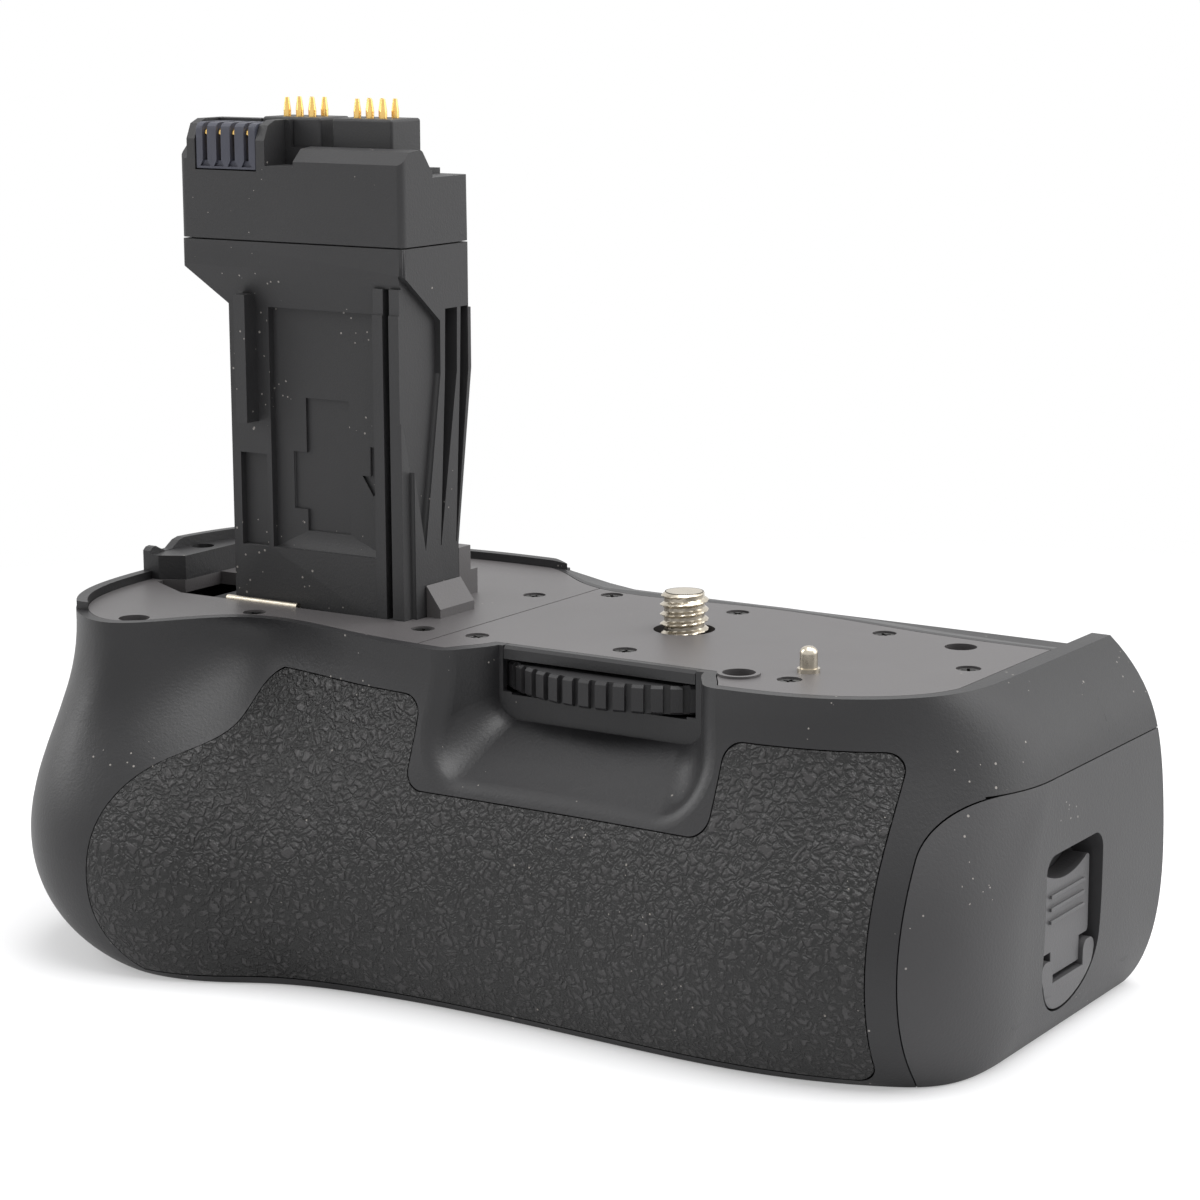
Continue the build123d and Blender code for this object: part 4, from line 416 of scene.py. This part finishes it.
# %% Metals and board
def metal(name, dark, light, roughness, grain_scale):
    """Plated metal with a fine unevenness in colour and gloss."""
    material, tree, shader = new_material(name, light, roughness, 1.0)
    place = tree.nodes.new("ShaderNodeTexCoord")
    uneven = tree.nodes.new("ShaderNodeTexNoise")
    uneven.inputs["Scale"].default_value = grain_scale
    uneven.inputs["Detail"].default_value = 4
    tone = tree.nodes.new("ShaderNodeMix")
    tone.data_type = "RGBA"
    tone.inputs["A"].default_value = (*dark, 1)
    tone.inputs["B"].default_value = (*light, 1)
    gloss = tree.nodes.new("ShaderNodeMapRange")
    gloss.inputs["To Min"].default_value = roughness - 0.08
    gloss.inputs["To Max"].default_value = roughness + 0.1
    tree.links.new(place.outputs["Object"], uneven.inputs["Vector"])
    tree.links.new(uneven.outputs["Fac"], tone.inputs["Factor"])
    tree.links.new(uneven.outputs["Fac"], gloss.inputs["Value"])
    tree.links.new(tone.outputs["Result"], shader.inputs["Base Color"])
    tree.links.new(gloss.outputs["Result"], shader.inputs["Roughness"])
    return material


nickel = metal("nickel_plating", (0.42, 0.38, 0.31), (0.66, 0.60, 0.50), 0.28, 900)
black_steel = metal("blackened_steel", (0.035, 0.034, 0.034), (0.07, 0.068, 0.066), 0.38, 1200)
gold = metal("gold_plating", (0.72, 0.43, 0.12), (0.95, 0.68, 0.26), 0.22, 1500)
board_lacquer = moulded(
    "board_lacquer", (0.012, 0.07, 0.035), (0.016, 0.10, 0.05), roughness=0.3,
    grain_scale=900, grain_depth=0.00003, dust_cover=0.75,
)
print("metals:", nickel.name, black_steel.name, gold.name)

# %% [markdown]
# Every CAD piece that stays in view takes one of these finishes.

# %% Finishes of the CAD pieces
finish_of = {
    housing_plastic: (
        "front_housing", "rear_housing", "shutter_housing", "wheel_guard", "door_holder",
    ),
    cap_plastic: ("magazine_cap",),
    latch_plastic: ("latch_plate", "latch_slider"),
    stem_plastic: ("stem_column", "stem_head", "pin_block_left", "pin_block_right"),
    plate_finish: ("seating_plate", "stem_panel"),
    grip_rubber: ("front_grip_rubber", "rear_grip_rubber"),
    wheel_plastic: (
        "attachment_wheel", "main_dial", "shutter_button", "focus_point_button", "lock_button",
        "index_button", "power_switch",
    ),
    tray_plastic: ("magazine_chamber", "magazine_tray"),
    contact_plastic: ("contact_block",),
    bearing_plastic: ("wheel_bearing",),
    nickel: (
        "attachment_screw", "locating_pin", "tripod_bush", "magazine_screws", "dial_shaft",
        "door_rod",
    ),
    black_steel: ("plate_screws", "panel_screws", "base_screws"),
    gold: (
        "stem_contacts", "contact_pins_left", "contact_pins_right", "tray_contacts",
        "chamber_contacts",
    ),
    board_lacquer: ("circuit_board", "stem_board"),
}
for finish, names in finish_of.items():
    for name in names:
        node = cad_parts[name]
        node.data.materials.clear()
        node.data.materials.append(finish)
dressed = {name for names in finish_of.values() for name in names}
print("nodes without a finish:", sorted(set(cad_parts) - dressed))

# %% [markdown]
# New pieces are made with the tools used by hand. These helpers repeat in them: they select faces
# by a test, apply a modifier, cut one shape out of another, pull a flat outline into a solid, copy
# a CAD mesh as one surface, and hand a finished piece over to its body.

# %% Helpers for new pieces
def make_active(piece):
    """Only this piece is selected and active."""
    deselect()
    piece.select_set(True)
    bpy.context.view_layer.objects.active = piece


def select_faces(piece, test):
    """Enters edit mode with just the faces selected that pass the test."""
    make_active(piece)
    bpy.ops.object.mode_set(mode="EDIT")
    bpy.ops.mesh.select_mode(type="FACE")
    bpy.ops.mesh.select_all(action="DESELECT")
    bpy.ops.object.mode_set(mode="OBJECT")
    for face in piece.data.polygons:
        face.select = test(face)
    bpy.ops.object.mode_set(mode="EDIT")


def apply_modifier(piece, kind, **settings):
    """Adds a modifier with its settings and applies it at once."""
    make_active(piece)
    modifier = piece.modifiers.new(kind.lower(), kind)
    for label, value in settings.items():
        setattr(modifier, label, value)
    bpy.ops.object.modifier_apply(modifier=modifier.name)


def cut(piece, cutter):
    """Takes the cutter's shape out of the piece and deletes the cutter."""
    apply_modifier(piece, "BOOLEAN", operation="DIFFERENCE", object=cutter, solver="EXACT")
    bpy.data.objects.remove(cutter)


def hand_over(piece, body, material, slot, *replaced, smooth=32):
    """The piece is smoothed by angle, gets its finish, and rides on its body."""
    make_active(piece)
    bpy.ops.object.transform_apply(location=True, rotation=True, scale=True)
    bpy.ops.object.shade_smooth_by_angle(angle=math.radians(smooth))
    apply_modifier(piece, "WEIGHTED_NORMAL", mode="FACE_AREA", weight=100, keep_sharp=True)
    piece.data.materials.clear()
    piece.data.materials.append(material)
    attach(piece, body)
    if replaced:
        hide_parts(*replaced)


def prism(name, outline, near, far, axis="Y"):
    """A flat outline, as pairs in millimetres, pulled along an axis from near to far."""
    deselect()
    bpy.ops.mesh.primitive_circle_add(vertices=len(outline), radius=1, fill_type="NGON")
    solid = bpy.context.object
    solid.name = name
    for vertex, (across, up) in zip(solid.data.vertices, outline):
        places = {"X": (near, across, up), "Y": (across, near, up), "Z": (across, up, near)}
        vertex.co = Vector(places[axis]) * MM
    pull = {"X": (1, 0, 0), "Y": (0, 1, 0), "Z": (0, 0, 1)}[axis]
    bpy.ops.object.mode_set(mode="EDIT")
    bpy.ops.mesh.select_all(action="SELECT")
    reach = Vector(pull) * (far - near) * MM
    bpy.ops.mesh.extrude_region_move(TRANSFORM_OT_translate={"value": reach})
    bpy.ops.mesh.select_all(action="SELECT")
    bpy.ops.mesh.normals_make_consistent(inside=False)
    bpy.ops.object.mode_set(mode="OBJECT")
    return solid


def merged_copy(node, name):
    """A copy of a CAD node's mesh as one connected surface."""
    piece = bpy.data.objects.new(name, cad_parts[node].data.copy())
    bpy.context.scene.collection.objects.link(piece)
    make_active(piece)
    bpy.ops.object.mode_set(mode="EDIT")
    bpy.ops.mesh.select_all(action="SELECT")
    bpy.ops.mesh.remove_doubles(threshold=0.001 * MM)
    bpy.ops.mesh.dissolve_limited(angle_limit=math.radians(0.5))
    bpy.ops.object.mode_set(mode="OBJECT")
    return piece


def box_outline(low_across, low_up, high_across, high_up):
    """The four corners of an upright rectangle."""
    return [
        (low_across, low_up), (high_across, low_up), (high_across, high_up), (low_across, high_up),
    ]


print("helpers are ready")

# %% [markdown]
# The attachment screw has a quarter-inch thread of 1.27 mm pitch, with sharp crests and wide hollow
# roots, and a worn, rounded tip. A disc is pulled up ring by ring, and then each point is moved in
# or out by where it lies along the helix, which makes the thread from the screw's own surface.

# %% Threaded attachment screw
SCREW_RADIUS, ROOT_RADIUS, NECK_RADIUS, SHAFT_RADIUS = 3.175, 2.62, 2.45, 3.0
THREAD_PITCH, CREST_SHARE, TIP_CHAMFER = 1.27, 0.30, 0.85
WHEEL_TOP, NECK_TOP = -2.2, -0.4
screw_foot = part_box("attachment_screw")[0][2] / MM
screw_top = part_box("attachment_screw")[1][2] / MM
ring_heights = [WHEEL_TOP, WHEEL_TOP + 0.01, NECK_TOP - 0.01]
ring_count = 60
ring_heights += [NECK_TOP + (screw_top - NECK_TOP) * n / ring_count for n in range(ring_count + 1)]


def screw_radius_at(height, angle):
    """The radius in millimetres at a height and an angle: shaft, neck, thread or tip."""
    if height <= WHEEL_TOP + 0.001:
        return SHAFT_RADIUS
    if height < NECK_TOP - 0.005:
        return NECK_RADIUS
    turn = (height / THREAD_PITCH - angle / math.tau) % 1
    crest = max(0.0, 1 - min(turn, 1 - turn) / CREST_SHARE)
    radius = ROOT_RADIUS + (SCREW_RADIUS - ROOT_RADIUS) * crest
    tip = SCREW_RADIUS - max(0.0, height - screw_top + TIP_CHAMFER) ** 1.5
    return min(radius, tip)


deselect()
bpy.ops.mesh.primitive_circle_add(vertices=96, radius=SHAFT_RADIUS * MM, fill_type="NGON")
screw = bpy.context.object
screw.name = "attachment_screw_thread"
for vertex in screw.data.vertices:
    vertex.co.z = screw_foot * MM
bpy.ops.object.mode_set(mode="EDIT")
bpy.ops.mesh.select_all(action="SELECT")
for low, high in zip([screw_foot] + ring_heights, ring_heights):
    bpy.ops.mesh.extrude_region_move(TRANSFORM_OT_translate={"value": (0, 0, (high - low) * MM)})
bpy.ops.mesh.inset(thickness=0.5 * MM)
bpy.ops.mesh.select_all(action="SELECT")
bpy.ops.mesh.normals_make_consistent(inside=False)
bpy.ops.object.mode_set(mode="OBJECT")
for vertex in screw.data.vertices:
    flat = math.hypot(vertex.co.x, vertex.co.y)
    if flat > (SHAFT_RADIUS - 0.1) * MM:
        angle = math.atan2(vertex.co.y, vertex.co.x) % math.tau
        wanted = screw_radius_at(vertex.co.z / MM, angle) * MM
        vertex.co.x, vertex.co.y = wanted * math.cos(angle), wanted * math.sin(angle)
hand_over(screw, "wheel_and_screw", nickel, "plated_steel", "attachment_screw")
print("screw faces:", len(screw.data.polygons), "top at", round(screw_top, 2), "mm")

# %% [markdown]
# Small pan screws hold the plates. Each has a rounded edge and a cross recess, turned a little
# differently from its neighbour, as screws are. One is modelled and copied to the places that the
# CAD screws have, which are read from their meshes.

# %% Cross-recess screws
SAME_SCREW = 3.5
RECESS_LONG, RECESS_NARROW, RECESS_FLOOR = 0.85, 0.2, -0.42


def screw_places(node):
    """The middle of each solid of a group of screws, with the heights of its foot and its top."""
    clusters = []
    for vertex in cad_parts[node].data.vertices:
        near = [c for c in clusters if (Vector(c[0][:2]) - vertex.co.xy).length < SAME_SCREW * MM]
        if near:
            near[0].append(tuple(vertex.co))
        else:
            clusters.append([tuple(vertex.co)])
    middles = []
    for points in clusters:
        lows = [min(p[k] for p in points) for k in range(3)]
        highs = [max(p[k] for p in points) for k in range(3)]
        middles.append(((lows[0] + highs[0]) / 2, (lows[1] + highs[1]) / 2, lows[2], highs[2]))
    return middles


def cross_screw(head_radius, head_height, shank_radius, shank_length):
    """One screw with its head's top at the origin, in millimetres."""
    deselect()
    bpy.ops.mesh.primitive_cylinder_add(
        vertices=40, radius=head_radius * MM, depth=head_height * MM,
        location=(0, 0, -head_height / 2 * MM),
    )
    one = bpy.context.object
    bpy.ops.object.transform_apply(location=True)
    select_faces(one, lambda face: face.normal.z < -0.9)
    bpy.ops.mesh.inset(thickness=(head_radius - shank_radius) * MM)
    bpy.ops.mesh.extrude_region_move(TRANSFORM_OT_translate={"value": (0, 0, -shank_length * MM)})
    bpy.ops.object.mode_set(mode="OBJECT")
    apply_modifier(one, "BEVEL", width=0.16 * MM, segments=3, limit_method="ANGLE")
    for half_x, half_y in ((RECESS_LONG, RECESS_NARROW), (RECESS_NARROW, RECESS_LONG)):
        bar = box_outline(-half_x, -half_y, half_x, half_y)
        cut(one, prism("recess", bar, RECESS_FLOOR, 0.2, "Z"))
    return one


def screw_set(name, node, material, flip=False):
    """Copies of the one screw at all places of a CAD group, joined to one piece."""
    copies = []
    for count, (x, y, low, high) in enumerate(screw_places(node)):
        one = pattern_screw.copy()
        one.data = pattern_screw.data.copy()
        bpy.context.scene.collection.objects.link(one)
        turn = Matrix.Rotation(0.5 + 1.1 * count, 4, "Z")
        if flip:
            turn = Matrix.Rotation(math.pi, 4, "X") @ turn
        one.data.transform(Matrix.Translation((x, y, low if flip else high)) @ turn)
        copies.append(one)
    make_active(copies[0])
    for one in copies:
        one.select_set(True)
    bpy.ops.object.join()
    joined = bpy.context.object
    joined.name = name
    hand_over(joined, "grip", material, "black_steel", node)
    return len(copies)


pattern_screw = cross_screw(1.45, 0.7, 0.75, 0.85)
made = screw_set("plate_cross_screws", "plate_screws", black_steel)
made += screw_set("panel_cross_screws", "panel_screws", black_steel)
made += screw_set("base_cross_screws", "base_screws", black_steel, flip=True)
bpy.data.objects.remove(pattern_screw)
print("screws made:", made)

# %% [markdown]
# In the recess of the stem's face the mould leaves a shallow stepped field and a small plain arrow.
# They are sunk marks, so they are cut out of a merged copy of the stem's mesh.

# %% Sunk marks in the stem
STEM_FLOOR, MARK_DEPTH = -12.4, 0.4
stem = merged_copy("stem_column", "stem_column_marked")
field_outline = [
    (-51.3, 10.0), (-44.2, 10.0), (-44.2, 27.9), (-51.3, 27.9), (-51.3, 20.6), (-53.5, 20.6),
    (-53.5, 12.9), (-51.3, 12.9),
]
arrow_outline = [
    (-40.3, 15.5), (-38.7, 18.2), (-39.8, 18.2), (-39.8, 22.1), (-40.8, 22.1), (-40.8, 18.2),
    (-42.1, 18.2),
]
for outline in (field_outline, arrow_outline):
    cut(stem, prism("mark", outline, STEM_FLOOR - 0.6, STEM_FLOOR + MARK_DEPTH))
hand_over(stem, "grip", stem_plastic, "body_plastic", "stem_column")
print("stem:", len(stem.data.polygons), "faces")

# %% [markdown]
# On the end cap the latch's slider and its fixed plate lie in a pocket with a dark gap all round.
# Each is a merged copy of its CAD mesh, drawn in a little towards its middle so that the gap shows,
# with its edges broken by a small bevel as on moulded parts.

# %% Latch slider and plate
def draw_in(piece, node, gap_across, gap_low):
    """Moves the sides in by a gap, and the foot up by another."""
    low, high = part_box(node)
    middle, half = (low[1] + high[1]) / 2, (high[1] - low[1]) / 2
    for vertex in piece.data.vertices:
        vertex.co.y = middle + (vertex.co.y - middle) * (1 - gap_across * MM / half)
        vertex.co.z = high[2] - (high[2] - vertex.co.z) * (1 - gap_low * MM / (high[2] - low[2]))


SIDE_GAP, LATCH_EDGE = 0.28, 0.08
for node, body, gap_low in (("latch_plate", "magazine", 0.3), ("latch_slider", "latch", 0.0)):
    latch_piece = merged_copy(node, node + "_drawn_in")
    draw_in(latch_piece, node, SIDE_GAP, gap_low)
    apply_modifier(
        latch_piece, "BEVEL", width=LATCH_EDGE * MM, segments=2, limit_method="ANGLE",
        angle_limit=math.radians(60),
    )
    hand_over(latch_piece, body, latch_plastic, "body_plastic", node)
    print(node, len(latch_piece.data.polygons), "faces")

# %% [markdown]
# The contact block on the stem's head has four narrow slots with sloping sills. In each slot stands
# a springy gold contact, a thin strip with a rounded nose near the top. The block is cut from one
# box with a rounded front edge, and the four contacts are copies of one.

# %% Contact block and its contacts
block_low, block_high = [[value / MM for value in corner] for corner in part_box("contact_block")]
SLOT_COUNT, SLOT_WIDTH, SLOT_PITCH_SHARE = 4, 0.8, 0.232
SILL_WIDTH, SILL_RISE, BACK_WALL, STRIP_HALF = 1.7, 0.75, 1.2, 0.27
slot_pitch = (block_high[0] - block_low[0]) * SLOT_PITCH_SHARE
slot_middle = (block_high[0] + block_low[0]) / 2
slot_places = [slot_middle + (n - (SLOT_COUNT - 1) / 2) * slot_pitch for n in range(SLOT_COUNT)]
slot_foot = block_low[2] + 1.1
front, back = block_low[1], block_high[1]
contact_body = prism(
    "contact_block_slotted",
    [
        (front, block_low[2]), (back, block_low[2]), (back, block_high[2]),
        (front + 1.0, block_high[2]), (front + 0.45, block_high[2] - 0.15),
        (front + 0.12, block_high[2] - 0.5), (front, block_high[2] - 1.1),
    ],
    block_low[0], block_high[0], "X",
)
apply_modifier(
    contact_body, "BEVEL", width=0.12 * MM, segments=2, limit_method="ANGLE",
    angle_limit=math.radians(50),
)
for x in slot_places:
    half = SLOT_WIDTH / 2
    slot_outline = box_outline(x - half, slot_foot, x + half, block_high[2] + 1)
    cut(contact_body, prism("slot", slot_outline, front - 1, back - BACK_WALL))
    half = SILL_WIDTH / 2
    sill_outline = [
        (x - half, slot_foot - SILL_RISE), (x + half, slot_foot - SILL_RISE),
        (x, slot_foot + SILL_RISE),
    ]
    cut(contact_body, prism("sill", sill_outline, front - 1, front + 0.35))
hand_over(contact_body, "grip", contact_plastic, "contact_plastic", "contact_block")

nose_top, nose_front = block_high[2] - 0.75, front + 0.25
strip_outline = [
    (nose_front + 1.5, slot_foot + 0.1), (nose_front + 1.5, nose_top - 0.3),
    (nose_front + 1.1, nose_top), (nose_front + 0.5, nose_top), (nose_front + 0.1, nose_top - 0.3),
    (nose_front, nose_top - 0.75), (nose_front + 0.35, nose_top - 1.1),
    (nose_front + 0.9, nose_top - 1.3), (nose_front + 1.2, slot_foot + 0.1),
]
strips = []
for x in slot_places:
    strip = prism("contact_strip", strip_outline, x - STRIP_HALF, x + STRIP_HALF, "X")
    apply_modifier(strip, "BEVEL", width=0.1 * MM, segments=2, limit_method="ANGLE")
    strips.append(strip)
make_active(strips[0])
for strip in strips:
    strip.select_set(True)
bpy.ops.object.join()
contacts = bpy.context.object
contacts.name = "contact_strips"
hand_over(contacts, "grip", gold, "gold", "stem_contacts")
print("faces of block:", len(contact_body.data.polygons), "strips:", len(contacts.data.polygons))

# %% [markdown]
# The last cell sets the plain Standard colour view.

# %% Colour view
bpy.context.scene.view_settings.view_transform = "Standard"
